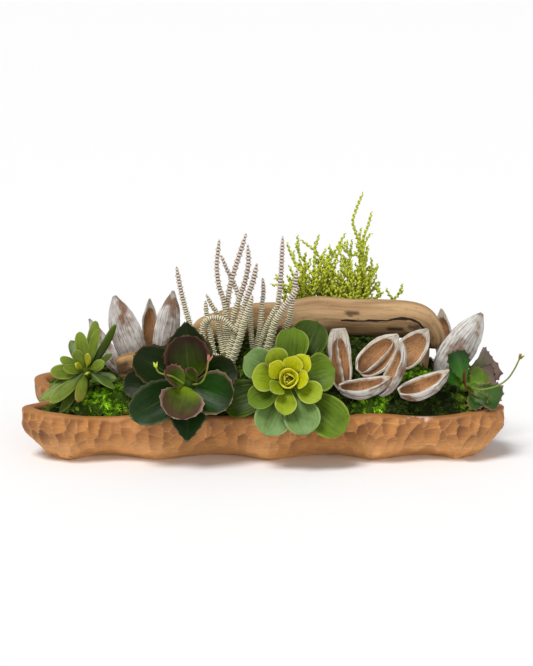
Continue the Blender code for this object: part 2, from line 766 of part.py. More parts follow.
def bowl_ring(outline, inset, height):
    """One ring of the bowl. inset and height take the hollow share at each place."""
    ring = []
    for place, inward, hollow in outline:
        at = place + inward * inset(hollow)
        ring.append(Vector((at.x, at.y, height(hollow))))
    return ring


def rim_top(hollow):
    """Height of the rim's crown."""
    return RIM_HEIGHT - RIM_DIP * hollow


def chiselled(ring):
    """Moves a ring's points in and out a little, as a gouge leaves them."""
    made = []
    for point in ring:
        outward = Vector((point.x, point.y, 0.0)).normalized()
        made.append(point + outward * CHISEL_DEPTH * noise.noise(point * CHISEL_DETAIL))
    return made


def make_bowl(outline, into):
    """The carved bowl: a thick wall that curves down from a rounded rim to a flat foot."""
    rings = []
    for share in WALL_SHARES:
        ring = bowl_ring(
            outline,
            lambda hollow, share=share: (FOOT_INSET + HOLLOW_INSET * hollow) * share ** WALL_CURVE,
            lambda hollow, share=share: (rim_top(hollow) - LIP_DROP) * (1.0 - share),
        )
        rings.append(ring if share == 1.0 else chiselled(ring))
    for inset, drop in RIM_SECTION:
        rings.append(rim_ring(outline, inset, drop))
    rings.append(bowl_ring(outline, lambda _: FLOOR_INSET, lambda _: FLOOR_THICKNESS))
    bowl = loft("bowl", rings, into)
    dress(bowl, "bowl_wood", 30.0)
    return bowl


def rim_ring(outline, inset, drop):
    """A ring of the bowl at an even inset, and an even drop below the rim's crown."""
    return bowl_ring(outline, lambda _: inset, lambda hollow: rim_top(hollow) - drop)


def filling_ring(outline, section, lift=0.0):
    """A ring of what fills the bowl, kept clear of the bowl's wall."""
    inset, drop = section
    return rim_ring(outline, inset + FILLING_FIT, drop - lift)


def mound_ring(edge, share, lift):
    """A ring of the planted mound: share 0 at the bowl's wall, 1 at the flat top."""
    ring = []
    for place in edge:
        top = MOUND_MIDDLE + Vector((place.x * MOUND_TOP_LENGTH, place.y * MOUND_TOP_DEPTH, 0.0))
        run = Vector((place.x, place.y, 0.0)) - top
        lengthwise = (run.x / run.length) ** 2
        rise = share ** (MOUND_BULGE + MOUND_HOLLOW * lengthwise)
        at = top + run * (1.0 - share)
        ring.append(Vector((at.x, at.y, place.z + (MOUND_HEIGHT - place.z) * rise + lift)))
    return ring


def make_foam(outline, cutters, into):
    """The foam block that fills the bowl and rises as a mound in its middle."""
    edge = filling_ring(outline, FOAM_EDGE)
    foot_inset = FOAM_FOOT_INSET + FILLING_FIT
    rings = [
        mound_ring(edge, 1.0, -MAT_THICKNESS),
        mound_ring(edge, MOUND_SHOULDER, -MAT_THICKNESS),
        edge,
        filling_ring(outline, FOAM_SHOULDER),
        bowl_ring(outline, lambda _: foot_inset, lambda _: FLOOR_THICKNESS + FIT_GAP),
    ]
    foam = loft("foam_block", rings, into)
    cut(foam, cutters)
    dress(foam, "foam")
    return foam


def make_moss(outline, cutters, into):
    """The moss mat over the foam: its underside follows the foam, its top is lumpy."""
    low_edge = filling_ring(outline, FOAM_EDGE, FIT_GAP)
    high_edge = filling_ring(outline, MOSS_EDGE)
    rings = [
        mound_ring(low_edge, 1.0, -MAT_THICKNESS + FIT_GAP),
        mound_ring(low_edge, MOUND_SHOULDER, -MAT_THICKNESS + FIT_GAP),
        low_edge,
        high_edge,
    ]
    for share, lift in MOSS_RINGS:
        ring = mound_ring(high_edge, share, lift)
        lumps = [Vector((0.0, 0.0, MOSS_LUMP * noise.noise(point * MOSS_DETAIL))) for point in ring]
        rings.append([point + lump for point, lump in zip(ring, lumps)])
    rings.append(mound_ring(high_edge, 1.0, 0.0))
    moss = loft("moss_mat", rings, into)
    cut(moss, cutters)
    dress(moss, "moss")
    return moss


# Leaves and rosettes
def rosette_frame(plant):
    """The rosette's frame: x to its right, y up in its plane, z out along its axis."""
    turn, tilt = math.radians(plant.turn), math.radians(plant.tilt)
    axis = Vector((math.sin(turn) * math.cos(tilt), -math.cos(turn) * math.cos(tilt), math.sin(tilt)))
    right = Vector((0.0, 0.0, 1.0)).cross(axis).normalized()
    up = axis.cross(right)
    frame = Matrix((right, up, axis)).transposed().to_4x4()
    frame.translation = plant.middle
    return frame


def leaf_point(leaf, root, along, across, raised):
    """A point of a leaf in its rosette's frame.

    root is its root's distance from the axis, along the share of its length from there, across
    the distance from its middle line, and raised the distance above its middle surface.
    """
    rise, tip_rise = math.radians(leaf.rise), math.radians(leaf.tip_rise)
    out, up = root, 0.0
    step = (leaf.length - root) * along / LEAF_STEPS
    for i in range(LEAF_STEPS):
        slope = rise + (tip_rise - rise) * along * (i + 0.5) / LEAF_STEPS
        out += math.cos(slope) * step
        up += math.sin(slope) * step
    slope = rise + (tip_rise - rise) * along
    twist = math.radians(leaf.twist) * min(1.0, along * 2)
    side = across * math.cos(twist) - raised * math.sin(twist)
    lift = across * math.sin(twist) + raised * math.cos(twist)
    out -= lift * math.sin(slope)
    up += lift * math.cos(slope)
    around = math.radians(leaf.around)
    return Vector((
        out * math.cos(around) - side * math.sin(around),
        out * math.sin(around) + side * math.cos(around),
        up - leaf.set_back,
    ))


def spatula_width(along, form):
    """Half width of a leaf, as a share of its widest, from a narrow root to a rounded tip."""
    blunt = form.blunt
    peak = blunt / (blunt + TIP_ROUNDNESS)
    most = peak ** blunt * (1 - peak) ** TIP_ROUNDNESS
    body = max(along, 0.0) ** blunt * max(1.0 - along, 0.0) ** TIP_ROUNDNESS / most
    return max(body, form.waist * (1.0 - along))


def fleshy_leaf(leaf, form, root, frame, into, rounds=5):
    """A thick leaf: a sphere drawn out along the leaf's line, cupped across its width."""
    bm = bmesh.new()
    bmesh.ops.create_uvsphere(bm, u_segments=4, v_segments=rounds, radius=1.0)
    for vert in bm.verts:
        along = (1.0 + vert.co.z) / 2
        ring = math.hypot(vert.co.x, vert.co.y)
        side, face = (vert.co.x / ring, vert.co.y / ring) if ring > 1e-6 else (0.0, 0.0)
        across = leaf.width / 2 * spatula_width(along, form) * side
        raised = form.thickness / 2 * face * (1.0 - TIP_THINNING * along)
        raised += form.cup * across * across / leaf.width
        vert.co = frame @ leaf_point(leaf, root, along, across, raised)
    return mesh_object("leaf", bm, into)


def toothed_leaf(leaf, form, root, frame, into):
    """A thin leaf with a cut edge: a grid bent to the leaf's form, given its thickness."""
    bm = bmesh.new()
    bmesh.ops.create_grid(bm, x_segments=TOOTH_ROWS, y_segments=2, size=1.0)
    for vert in bm.verts:
        along = (1.0 + vert.co.x) / 2
        row = round(along * TOOTH_ROWS)
        along = 1.0 - (1.0 - along) ** TOOTH_PACKING
        half = leaf.width / 2 * spatula_width(min(along, TOOTHED_END), form)
        if abs(vert.co.y) > 0.9 and row > 1:
            half *= 1.0 + form.teeth * (1.0 if row % 2 else -NOTCH_SHARE)
        half *= 1.0 - leaf.point * max(0.0, along - 0.5)
        across = half * vert.co.y
        raised = form.cup * across * across / leaf.width
        vert.co = frame @ leaf_point(leaf, root, along, across, raised)
    bmesh.ops.triangulate(bm, faces=bm.faces)
    mesh = bpy.data.meshes.new("leaf")
    bm.to_mesh(mesh)
    bm.free()
    obj = bpy.data.objects.new("leaf", mesh)
    into.objects.link(obj)
    skin = obj.modifiers.new("thickness", "SOLIDIFY")
    skin.thickness = form.thickness
    skin.offset = 0.0
    apply_modifiers(obj)
    return obj


def apply_modifiers(obj):
    """Gives an object the mesh that its modifiers make, in their place."""
    bpy.context.view_layer.update()
    graph = bpy.context.evaluated_depsgraph_get()
    made = bpy.data.meshes.new_from_object(obj.evaluated_get(graph))
    obj.modifiers.clear()
    obj.data = made


def core_and_stem(plant, leaves, frame, into, cutters):
    """The heart that a rosette's leaves grow from, and the stem from it down into the foam."""
    front = plant.core_radius * CORE_FRONT
    furthest = max(leaf.set_back for leaf in leaves)
    back = -furthest - CORE_BACK * (front + furthest)
    bm = bmesh.new()
    bmesh.ops.create_uvsphere(bm, u_segments=6, v_segments=5, radius=plant.core_radius)
    for vert in bm.verts:
        share = (vert.co.z / plant.core_radius + 1.0) / 2
        vert.co.z = back + (front - back) * share
    bmesh.ops.transform(bm, matrix=frame, verts=bm.verts)
    core = mesh_object("core", bm, into)
    bend = plant.foot
    start = frame @ Vector((0.0, 0.0, back * 0.6))
    behind = frame @ Vector((0.0, 0.0, back - STEM_REACH))
    route = [start, behind, bend.lerp(behind, 0.3) + Vector((0.0, 0.0, 0.003)), bend]
    route.append(Vector((bend.x, bend.y, PICK_FOOT)))
    stem = tube("stem", route, [plant.stem_radius] * len(route), into, sides=0)
    make_hole(bend.x, bend.y, plant.stem_radius, cutters)
    return [core, stem]


def leaf_root(plant):
    """Distance from a rosette's axis where its leaves begin."""
    return plant.core_radius * LEAF_ROOT


def make_hole(x, y, radius, cutters, foot=PICK_FOOT):
    """A cutter for a plain round hole down into the foam, to just below a pick's foot."""
    bm = bmesh.new()
    depth = HOLE_TOP - foot + FIT_GAP
    wide = (radius + HOLE_MARGIN) / math.cos(math.pi / HOLE_SIDES)
    bmesh.ops.create_cone(
        bm, cap_ends=True, segments=HOLE_SIDES, radius1=wide, radius2=wide, depth=depth,
    )
    bmesh.ops.translate(bm, verts=bm.verts, vec=(x, y, HOLE_TOP - depth / 2))
    hide_cutter(mesh_object("hole", bm, cutters))


def hide_cutter(obj):
    """Marks a cutter, which isn't part of the object."""
    obj.hide_render = True
    obj.display_type = "WIRE"


def sprig_pieces(sprigs, into):
    """Thin flower stalks with three small buds at the tip of each."""
    pieces = []
    for sprig in sprigs:
        radii = [STALK_RADIUS] * (len(sprig.route) - 1) + [STALK_END]
        pieces.append(tube("stalk", sprig.route, radii, into, sides=0))
        end, before = Vector(sprig.route[-1]), Vector(sprig.route[-2])
        ahead = (end - before).normalized()
        side = ahead.cross(Vector((0.0, 1.0, 0.0))).normalized()
        for lean in BUD_LEANS:
            tip = end + (ahead + side * lean).normalized() * sprig.bud
            route = [end - ahead * BUD_OVERLAP, end.lerp(tip, BUD_WIDEST), tip]
            pieces.append(tube("bud", route, [STALK_END, BUD_RADIUS, BUD_END], into, sides=0))
    return pieces


def make_echeveria(scratch, cutters, into):
    """The big green rosette at the front, with broad cupped leaves."""
    frame = rosette_frame(ECHEVERIA)
    pieces = core_and_stem(ECHEVERIA, ECHEVERIA_LEAVES, frame, scratch, cutters)
    root = leaf_root(ECHEVERIA)
    for leaf in ECHEVERIA_LEAVES:
        rounds = 6 if leaf.length > LONG_LEAF else 5
        pieces.append(fleshy_leaf(leaf, ECHEVERIA_FORM, root, frame, scratch, rounds))
    return fuse("echeveria_rosette", pieces, "lime_succulent", into)


def make_paddle_plant(scratch, cutters, into):
    """The left succulent, a spray of thick paddle-shaped leaves."""
    frame = rosette_frame(PADDLE_PLANT)
    pieces = core_and_stem(PADDLE_PLANT, PADDLE_LEAVES, frame, scratch, cutters)
    root = leaf_root(PADDLE_PLANT)
    for leaf in PADDLE_LEAVES:
        pieces.append(fleshy_leaf(leaf, PADDLE_FORM, root, frame, scratch))
    return fuse("paddle_leaf_succulent", pieces, "olive_succulent", into)


def make_dark_plant(scratch, cutters, into):
    """The dark succulent with round, notched leaves and two flower stalks."""
    frame = rosette_frame(DARK_PLANT)
    pieces = core_and_stem(DARK_PLANT, DARK_LEAVES, frame, scratch, cutters)
    root = leaf_root(DARK_PLANT)
    for leaf in DARK_LEAVES:
        pieces.append(toothed_leaf(leaf, DARK_FORM, root, frame, scratch))
    pieces += sprig_pieces(DARK_SPRIGS, scratch)
    return fuse("dark_leaf_succulent", pieces, "dark_succulent", into)


def make_small_plant(scratch, cutters, into):
    """The small notched succulent at the right end, with its long flower stalk."""
    frame = rosette_frame(SMALL_PLANT)
    pieces = core_and_stem(SMALL_PLANT, SMALL_LEAVES, frame, scratch, cutters)
    root = leaf_root(SMALL_PLANT)
    for leaf in SMALL_LEAVES:
        pieces.append(toothed_leaf(leaf, SMALL_FORM, root, frame, scratch))
    pieces += sprig_pieces(SMALL_SPRIGS, scratch)
    return fuse("small_notched_succulent", pieces, "dark_succulent", into)


# Ringed stems and lime twigs
def ringed_stem(stem, root, into):
    """A tapering stem of stacked rings, from the cluster's root through its route."""
    branches_off = stem.route[0][2] > BRANCHING_HEIGHT
    rooted = stem.route if branches_off else (root, *stem.route)
    beads = evenly_along(smooth_route(rooted, 6), BEAD_SPACING / 2)
    last = len(beads) - 1
    radii = []
    for i in range(last + 1):
        taper = 1.0 - STEM_TAPER * i / last
        ring = 1.0 if i % 2 else BEAD_WAIST
        radii.append(STEM_FULLNESS * stem.radius * taper * ring * (STEM_END if i == last else 1.0))
    return tube("ringed", beads, radii, into, sides=0)


def make_peg(x, y, z, radius, scratch, cutters):
    """The peg that a bunch stands on, from its root down into its hole in the foam."""
    make_hole(x, y, radius, cutters)
    return tube("peg", [(x, y, z + PEG_OVERLAP), (x, y, PICK_FOOT)], [radius] * 2, scratch)


def make_ringed_cluster(name, scratch, cutters, into):
    """A bunch of ringed stems that grow from one root."""
    root, stems = STEM_CLUSTERS[name]
    pieces = [make_peg(*root, STEM_PEG_RADIUS, scratch, cutters)]
    for stem in stems:
        pieces.append(ringed_stem(stem, root, scratch))
    return fuse(name, pieces, "ringed_stem", into)


def knobbly_twig(start, end, bow, knobs, into):
    """A thin twig covered in knobbly scales, drawn as a slim core that swells and turns."""
    along = end - start
    sideways = along.cross(TWIG_SIDEWAYS).normalized()
    other = along.cross(sideways).normalized()
    points = []
    radii = []
    for i in range(knobs + 1):
        share = i / knobs
        at = start + along * share + sideways * bow * 4 * share * (1 - share)
        wobble = TWIG_WOBBLE if 0 < i < knobs else 0.0
        turn = TWIG_TURN * i
        at += (sideways * math.cos(turn) + other * math.sin(turn)) * wobble
        points.append(at)
        thick = TWIG_KNOB if i % 2 else TWIG_WAIST
        radii.append(TWIG_RADIUS * thick * (1.0 - TWIG_TAPER * share))
    return tube("twig", points, radii, into, sides=0)


def side_twig(root, end, bow, side, into):
    """A short twig from the middle of a main one, to one side of it."""
    along = end - root
    sideways = along.cross(TWIG_SIDEWAYS).normalized()
    start = root + along * 0.5 + sideways * bow
    lean = along.normalized() + sideways * side * SIDE_TWIG_LEAN
    lean.y += SIDE_TWIG_DEPTH_LEAN * side
    tip = start + lean.normalized() * along.length * SIDE_TWIG_LENGTH
    return knobbly_twig(start, tip, SIDE_TWIG_BOW, SIDE_TWIG_KNOBS, into)


def make_twig_bunch(name, scratch, cutters, into):
    """One bunch of lime twigs: main twigs from the root, two in three with a side twig."""
    (x, y), tips = TWIG_BUNCHES[name]
    root = Vector((x, y, TWIG_ROOT_HEIGHT))
    pieces = [make_peg(*root, TWIG_PEG_RADIUS, scratch, cutters)]
    for i, tip in enumerate(tips):
        side = (-1.0) ** i
        end = Vector(tip)
        pieces.append(knobbly_twig(root, end, TWIG_BOW * side, TWIG_KNOBS, scratch))
        if i % 3 < 2:
            pieces.append(side_twig(root, end, TWIG_BOW * side, side, scratch))
    return fuse(name, pieces, "lime_twig", into)


# Driftwood
def wood_tube(name, line, into, swell=0.0, gnarl=WOOD_GNARL):
    """A length of driftwood with an uneven surface, or its groove's cutter, swollen and even."""
    radii = [point[3] + swell for point in line]
    wood = tube(name, [point[:3] for point in line], radii, into, sides=3)
    for vert in wood.data.vertices:
        middle = min(line, key=lambda point: (Vector(point[:3]) - vert.co).length)
        outward = (vert.co - Vector(middle[:3])).normalized()
        vert.co += outward * gnarl * noise.noise(vert.co * WOOD_GRAIN)
    return wood


def make_log(scratch, cutters, into):
    """The long piece of driftwood with its hooked end, and the stub that it stands on."""
    pieces = [wood_tube("log", LOG_LINE, scratch), wood_tube("leg", LOG_LEG, scratch)]
    log = fuse("driftwood_log", pieces, "driftwood", into)
    x, y, z, radius = LOG_LEG[-1]
    foot = (x, y, z - LEG_ROOM, radius)
    hide_cutter(wood_tube("log_groove", LOG_LINE, cutters, LOG_SEAT, 0.0))
    hide_cutter(wood_tube("leg_hole", (*LOG_LEG, foot), cutters, WOOD_GNARL + FIT_GAP, 0.0))
    return log


def make_branch(scratch, cutters, into):
    """The short piece of driftwood at the left, with a rotten hollow in its end."""
    branch = wood_tube("branch", BRANCH_LINE, scratch)
    x, y, z, radius = BRANCH_LINE[0]
    route = [(x - HOLLOW_REACH, y, z), (x + BRANCH_HOLLOW, y, z)]
    hollow = tube("rot", route, [radius * HOLLOW_MOUTH, radius * HOLLOW_FLOOR], scratch, sides=3)
    carve = branch.modifiers.new("rot", "BOOLEAN")
    carve.operation = "DIFFERENCE"
    carve.object = hollow
    apply_modifiers(branch)
    bpy.data.objects.remove(hollow)
    fuse("driftwood_branch", [branch], "driftwood", into)
    hide_cutter(wood_tube("branch_groove", BRANCH_LINE, cutters, WOOD_GNARL + FIT_GAP, 0.0))
    return branch


# Husks
def husk_frame(husk):
    """The husk's length, width and facing directions, and its length."""
    along = husk.tip - husk.root
    length = along.length
    along = along / length
    facing = (husk.faces - along * husk.faces.dot(along)).normalized()
    return along, facing.cross(along), facing, length


def husk_middle(husk, share):
    """The middle of the husk's open face at a share of its length."""
    along, _, facing, length = husk_frame(husk)
    return husk.root + along * length * share - facing * HUSK_ARCH * length * 4 * share * (1 - share)


def husk_breadth(husk, share, breadth):
    """The profile's breadth, with what a blunt crown adds to it."""
    return breadth + husk.blunt * share ** 3


def husk_section(husk, share, breadth, opening, hollow):
    """The cross-section of a husk as ten points, five outside and five inside."""
    _, across, facing, _ = husk_frame(husk)
    breadth = husk_breadth(husk, share, breadth)
    half = husk.width / 2 * breadth
    deep = husk.depth * breadth ** HUSK_FULLNESS
    turns = [math.pi * k / 4 for k in range(5)]
    points = [(math.cos(turn) * half, -math.sin(turn) * deep) for turn in turns]
    inner_half = husk.width / 2 * opening
    inner_deep = (husk.depth - HUSK_WALL) * hollow
    floor = TWO_CHAMBERS if husk.chambers == 2 else ONE_CHAMBER
    points += [(inner_half * side, -inner_deep * down) for side, down in zip(HUSK_SPREAD, floor)]
    middle = husk_middle(husk, share)
    return [middle + across * x + facing * y for x, y in points]


def husk_back(husk, share):
    """A point in the wall at the back of a husk, at a share of its length."""
    _, across, facing, _ = husk_frame(husk)
    rows = zip(HUSK_PROFILE, HUSK_PROFILE[1:])
    low, high = next(pair for pair in rows if pair[1][0] >= share)
    breadth = low[1] + (high[1] - low[1]) * (share - low[0]) / (high[0] - low[0])
    deep = husk.depth * husk_breadth(husk, share, breadth) ** HUSK_FULLNESS
    return husk_middle(husk, share) - facing * deep * PICK_SEAT + across * husk.width * husk.pick_side


def make_husk(name, scratch, cutters, into):
    """A dry half pod on its pick."""
    husk = HUSKS[name]
    body = loft("husk", [husk_section(husk, *row) for row in HUSK_PROFILE], scratch)
    start = husk_back(husk, husk.pick_share)
    x, y, _ = start
    route = [start, Vector((x, y, HUSK_PICK_FOOT))]
    pick = tube("pick", route, [PICK_RADIUS] * 2, scratch, sides=0)
    make_hole(x, y, PICK_RADIUS, cutters, HUSK_PICK_FOOT)
    return fuse(name, [body, pick], "husk", into)


def main():
    """Builds every piece of the dish garden."""
    clear_scene()
    garden = collection("succulent_dish_garden")
    scratch = collection("scratch")
    cutters = collection("cutters", hidden=True)
    make_echeveria(scratch, cutters, garden)
    make_paddle_plant(scratch, cutters, garden)
    make_dark_plant(scratch, cutters, garden)
    make_small_plant(scratch, cutters, garden)
    for name in STEM_CLUSTERS:
        make_ringed_cluster(name, scratch, cutters, garden)
    for name in TWIG_BUNCHES:
        make_twig_bunch(name, scratch, cutters, garden)
    make_log(scratch, cutters, garden)
    make_branch(scratch, cutters, garden)
    for name in HUSKS:
        make_husk(name, scratch, cutters, garden)
    make_bowl(rim_outline(BOWL_STEPS), garden)
    outline = rim_outline(FILLING_STEPS)
    make_foam(outline, cutters, garden)
    make_moss(outline, cutters, garden)


main()
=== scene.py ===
"""Looks of the succulent dish garden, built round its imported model.

Metres, +Z up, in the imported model's frame: the origin is the middle of the bowl's resting face, +X
runs along the bowl and -Y is its front. Each sub-assembly is a class that holds its sizes, builds
its meshes and dresses them. Broad colour is painted on each mesh's points by formula, and each
finish adds its grain, veins and relief as shader nodes.
"""

from __future__ import annotations

import logging
import math
from dataclasses import dataclass
from enum import Enum
from typing import Any, Iterable, Sequence, Union

import bpy
import numpy as np
from mathutils import Matrix, Vector, noise
from mathutils.bvhtree import BVHTree


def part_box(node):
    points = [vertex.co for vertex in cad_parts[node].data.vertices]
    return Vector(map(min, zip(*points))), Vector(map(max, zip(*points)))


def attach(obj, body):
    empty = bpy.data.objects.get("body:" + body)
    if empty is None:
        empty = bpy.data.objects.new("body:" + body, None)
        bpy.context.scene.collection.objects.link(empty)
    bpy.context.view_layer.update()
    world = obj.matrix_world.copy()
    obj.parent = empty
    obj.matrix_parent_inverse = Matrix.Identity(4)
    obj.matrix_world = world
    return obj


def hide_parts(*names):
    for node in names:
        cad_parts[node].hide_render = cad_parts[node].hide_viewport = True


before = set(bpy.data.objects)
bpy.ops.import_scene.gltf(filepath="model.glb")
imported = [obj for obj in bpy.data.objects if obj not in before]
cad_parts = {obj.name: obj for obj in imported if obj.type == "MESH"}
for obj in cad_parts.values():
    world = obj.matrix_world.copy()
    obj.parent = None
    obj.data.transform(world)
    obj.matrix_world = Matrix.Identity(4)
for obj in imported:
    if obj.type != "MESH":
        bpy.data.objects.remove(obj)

LOG = logging.getLogger("dish_garden")
SEED = 7
STEM_FOOT = 0.034
PEG_HEAD = 0.010

Color = tuple[float, float, float]
Place = tuple[float, float, float]
Pair = tuple[float, float]
Grid = np.ndarray
Random = np.random.Generator
Material = bpy.types.Material
Piece = bpy.types.Object


# Colours and small shapes of curve
def tone(red: int, green: int, blue: int) -> Color:
    """A colour as it looks on a screen, 0 to 255, given back as linear light."""
    return tuple(
        share / 12.92 if share <= 0.04045 else ((share + 0.055) / 1.055) ** 2.4
        for share in (red / 255, green / 255, blue / 255)
    )


def ease(low: float, high: float, value: Any) -> Any:
    """A smooth step from 0 at low to 1 at high.

    Args:
        low: where the step starts.
        high: where it ends; it may be below low for a falling step.
        value: a number or an array.

    Returns:
        The step at value, of the same shape.
    """
    share = np.clip((value - low) / (high - low), 0.0, 1.0)
    return share * share * (3.0 - 2.0 * share)


def mixed(first: Any, second: Any, share: Any) -> np.ndarray:
    """Blends two colours, or arrays of colours, by a share or an array of shares."""
    weight = np.asarray(share, float)[..., None]
    return np.asarray(first, float) * (1.0 - weight) + np.asarray(second, float) * weight


def rough(points: Grid, scale: float, seed: float = 0.0) -> np.ndarray:
    """Soft noise from -1 to 1 at each point.

    Args:
        points: an array whose last axis is x, y, z.
        scale: how many lumps there are to a metre.
        seed: moves the pattern.

    Returns:
        One value for each point.
    """
    flat = points.reshape(-1, 3) * scale + seed
    values = np.fromiter((noise.noise(place) for place in flat), float, len(flat))
    return values.reshape(points.shape[:-1])


def spline(points: Sequence[Sequence[float]], steps: int) -> Grid:
    """Points on a smooth curve through the given ones.

    Args:
        points: the given points, with any number of columns.
        steps: points made for each stretch.

    Returns:
        The curve's points, the last given one included.
    """
    given = np.asarray(points, float)
    padded = np.vstack([given[:1], given, given[-1:]])
    share = np.linspace(0.0, 1.0, steps, endpoint=False)[:, None]
    stretches = [bend(*padded[i : i + 4], share) for i in range(len(given) - 1)]
    return np.vstack([*stretches, given[-1:]])


def bend(before: Any, start: Any, end: Any, after: Any, share: Any) -> Any:
    """The smooth curve from start to end, at a share of the way."""
    square = (2 * before - 5 * start + 4 * end - after) * share**2
    cube = (3 * start - before - 3 * end + after) * share**3
    return 0.5 * (2 * start + (end - before) * share + square + cube)


def unit(vectors: np.ndarray) -> np.ndarray:
    """The same vectors, each with a length of 1."""
    return vectors / np.maximum(np.linalg.norm(vectors, axis=-1, keepdims=True), 1e-9)


def turns(count: int) -> np.ndarray:
    """Angles spread evenly round a circle, in radians."""
    return np.arange(count) * (2 * math.pi / count)


def totals(steps: np.ndarray) -> np.ndarray:
    """Running totals of steps, from 0."""
    return np.concatenate([[0.0], np.cumsum(steps)])


def lengths_along(points: Grid) -> np.ndarray:
    """Distance from the first point to each, along the curve."""
    return totals(np.linalg.norm(np.diff(points[:, :3], axis=0), axis=1))


def evenly(points: Grid, spacing: float) -> Grid:
    """The same curve with its points about spacing apart."""
    travelled = lengths_along(points)
    count = max(3, round(travelled[-1] / spacing) + 1)
    at = np.linspace(0.0, travelled[-1], count)
    return np.column_stack([np.interp(at, travelled, column) for column in points.T])


def directions(route: Grid) -> tuple[Grid, Grid, Grid]:
    """The way a route runs at each point, and two directions square to it that turn least.

    Args:
        route: points of the route, one a row.

    Returns:
        The tangents, sides and ups.
    """
    tangents = unit(np.gradient(route[:, :3], axis=0))
    side = np.cross(tangents[0], (0.13, 0.97, 0.21))
    sides = []
    for tangent in tangents:
        side = unit(side - tangent * side.dot(tangent))
        sides.append(side)
    sides = np.array(sides)
    return tangents, sides, np.cross(tangents, sides)


def sweep(route: Grid, radii: np.ndarray, sides: int) -> Grid:
    """Rings of points round a route.

    Args:
        route: the middle line.
        radii: a radius for each point of the route, or for each point of each ring.
        sides: points in a ring.

    Returns:
        An array of rings by points by x, y, z.
    """
    _, side, up = directions(route)
    turn = turns(sides)
    around = np.cos(turn)[None, :, None] * side[:, None] + np.sin(turn)[None, :, None] * up[:, None]
    wide = radii if radii.ndim == 2 else radii[:, None]
    return route[:, None, :3] + around * wide[..., None]


# Meshes
class Draft:
    """Gathers grids of points into one mesh, with paint and shares kept at each point."""

    def __init__(self, *shares: str) -> None:
        """Starts empty. shares names the numbers that are kept at each point."""
        self.count = 0
        self.points: list[np.ndarray] = []
        self.faces: list[list[int]] = []
        self.paint: list[np.ndarray] = []
        self.shares: dict[str, list[np.ndarray]] = {name: [] for name in shares}

    def keep(self, points: np.ndarray, paint: Any, shares: dict[str, Any]) -> int:
        """Keeps points with their paint and shares, and gives the number of the first."""
        flat = points.reshape(-1, 3)
        size = points.shape[:-1]
        self.points.append(flat)
        self.paint.append(np.broadcast_to(np.asarray(paint, float), (*size, 3)).reshape(-1, 3))
        for name, kept in self.shares.items():
            value = np.asarray(shares.get(name, 0.0), float)
            if value.ndim == 1 and len(size) == 2:
                value = value[:, None]
            kept.append(np.broadcast_to(value, size).reshape(-1))
        first = self.count
        self.count += len(flat)
        return first

    def grid(self, points: Grid, paint: Any, closed: bool = False, **shares: Any) -> None:
        """Adds a sheet, or a closed body where the rows are rings.

        Args:
            points: rows by columns by x, y, z.
            paint: a colour for all, or for each point.
            closed: joins each row's ends, caps the first and last row and faces outwards.
            shares: a number for all, for each row, or for each point, by name.
        """
        rows, columns = points.shape[:2]
        first = self.keep(points, paint, shares)
        across = columns if closed else columns - 1
        low = first + np.arange(rows - 1)[:, None] * columns + np.arange(across)[None, :]
        high = first + np.arange(rows - 1)[:, None] * columns + (np.arange(across) + 1)[None, :] % columns
        quads = np.stack([low, high, high + columns, low + columns], axis=-1).reshape(-1, 4)
        caps = []
        if closed:
            start = first + np.arange(columns)
            caps = [start[::-1], start + (rows - 1) * columns]
            if outward_volume(points) < 0.0:
                quads = quads[:, ::-1]
                caps = [cap[::-1] for cap in caps]
        self.faces += quads.tolist()
        self.faces += [cap.tolist() for cap in caps]

    def shards(self, points: np.ndarray, paint: Any, **shares: Any) -> None:
        """Adds loose flat shapes: shapes by corners by x, y, z."""
        first = self.keep(points, paint, shares)
        shape = points.shape[:2]
        self.faces += (first + np.arange(math.prod(shape))).reshape(shape).tolist()

    def peg(self, root: Place, radius: float, sides: int, paint: Color) -> None:
        """Adds the straight peg that a bunch stands on.

        Args:
            root: where the bunch starts.
            radius: the peg's radius.
            sides: how many sides it has.
            paint: its colour.
        """
        x, y, z = root
        route = np.array([(x, y, z + PEG_HEAD), (x, y, z), (x, y, STEM_FOOT)])
        self.grid(sweep(route, np.full(3, radius), sides), paint, closed=True)

    def build(self, name: str) -> Piece:
        """Makes the mesh object and puts it in the scene.

        Args:
            name: the piece's name.

        Returns:
            The object, smooth shaded, with no material.
        """
        mesh = bpy.data.meshes.new(name)
        mesh.from_pydata(np.vstack(self.points).tolist(), [], self.faces)
        colors = np.column_stack([np.vstack(self.paint), np.ones(self.count)]).astype(np.float32)
        mesh.attributes.new("paint", "FLOAT_COLOR", "POINT").data.foreach_set("color", colors.ravel())
        for share, kept in self.shares.items():
            values = np.concatenate(kept).astype(np.float32)
            mesh.attributes.new(share, "FLOAT", "POINT").data.foreach_set("value", values)
        mesh.shade_smooth()
        mesh.update()
        piece = bpy.data.objects.new(name, mesh)
        bpy.context.scene.collection.objects.link(piece)
        return piece


def outward_volume(points: Grid) -> float:
    """Volume inside rings of points, above 0 where the faces that grid makes look outwards."""
    low, high = points[:-1], points[1:]
    turned = np.roll(high, -1, axis=1)
    middle = points.reshape(-1, 3).mean(axis=0)
    a, b, c = low - middle, np.roll(low, -1, axis=1) - middle, turned - middle
    d = high - middle
    return float((np.cross(a, b) * c).sum() + (np.cross(a, c) * d).sum())


def install(piece: Piece, material: Material, slot: str, *nodes: str) -> Piece:
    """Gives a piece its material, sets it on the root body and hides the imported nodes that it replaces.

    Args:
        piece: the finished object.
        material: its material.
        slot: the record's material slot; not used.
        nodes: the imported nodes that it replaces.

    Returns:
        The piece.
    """
    piece.data.materials.append(material)
    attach(piece, "root")
    if nodes:
        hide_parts(*nodes)
    faces = sum(len(polygon.vertices) - 2 for polygon in piece.data.polygons)
    LOG.info("%s: %d triangles", piece.name, faces)
    return piece


# Shader nodes
Number = Union["Value", float]


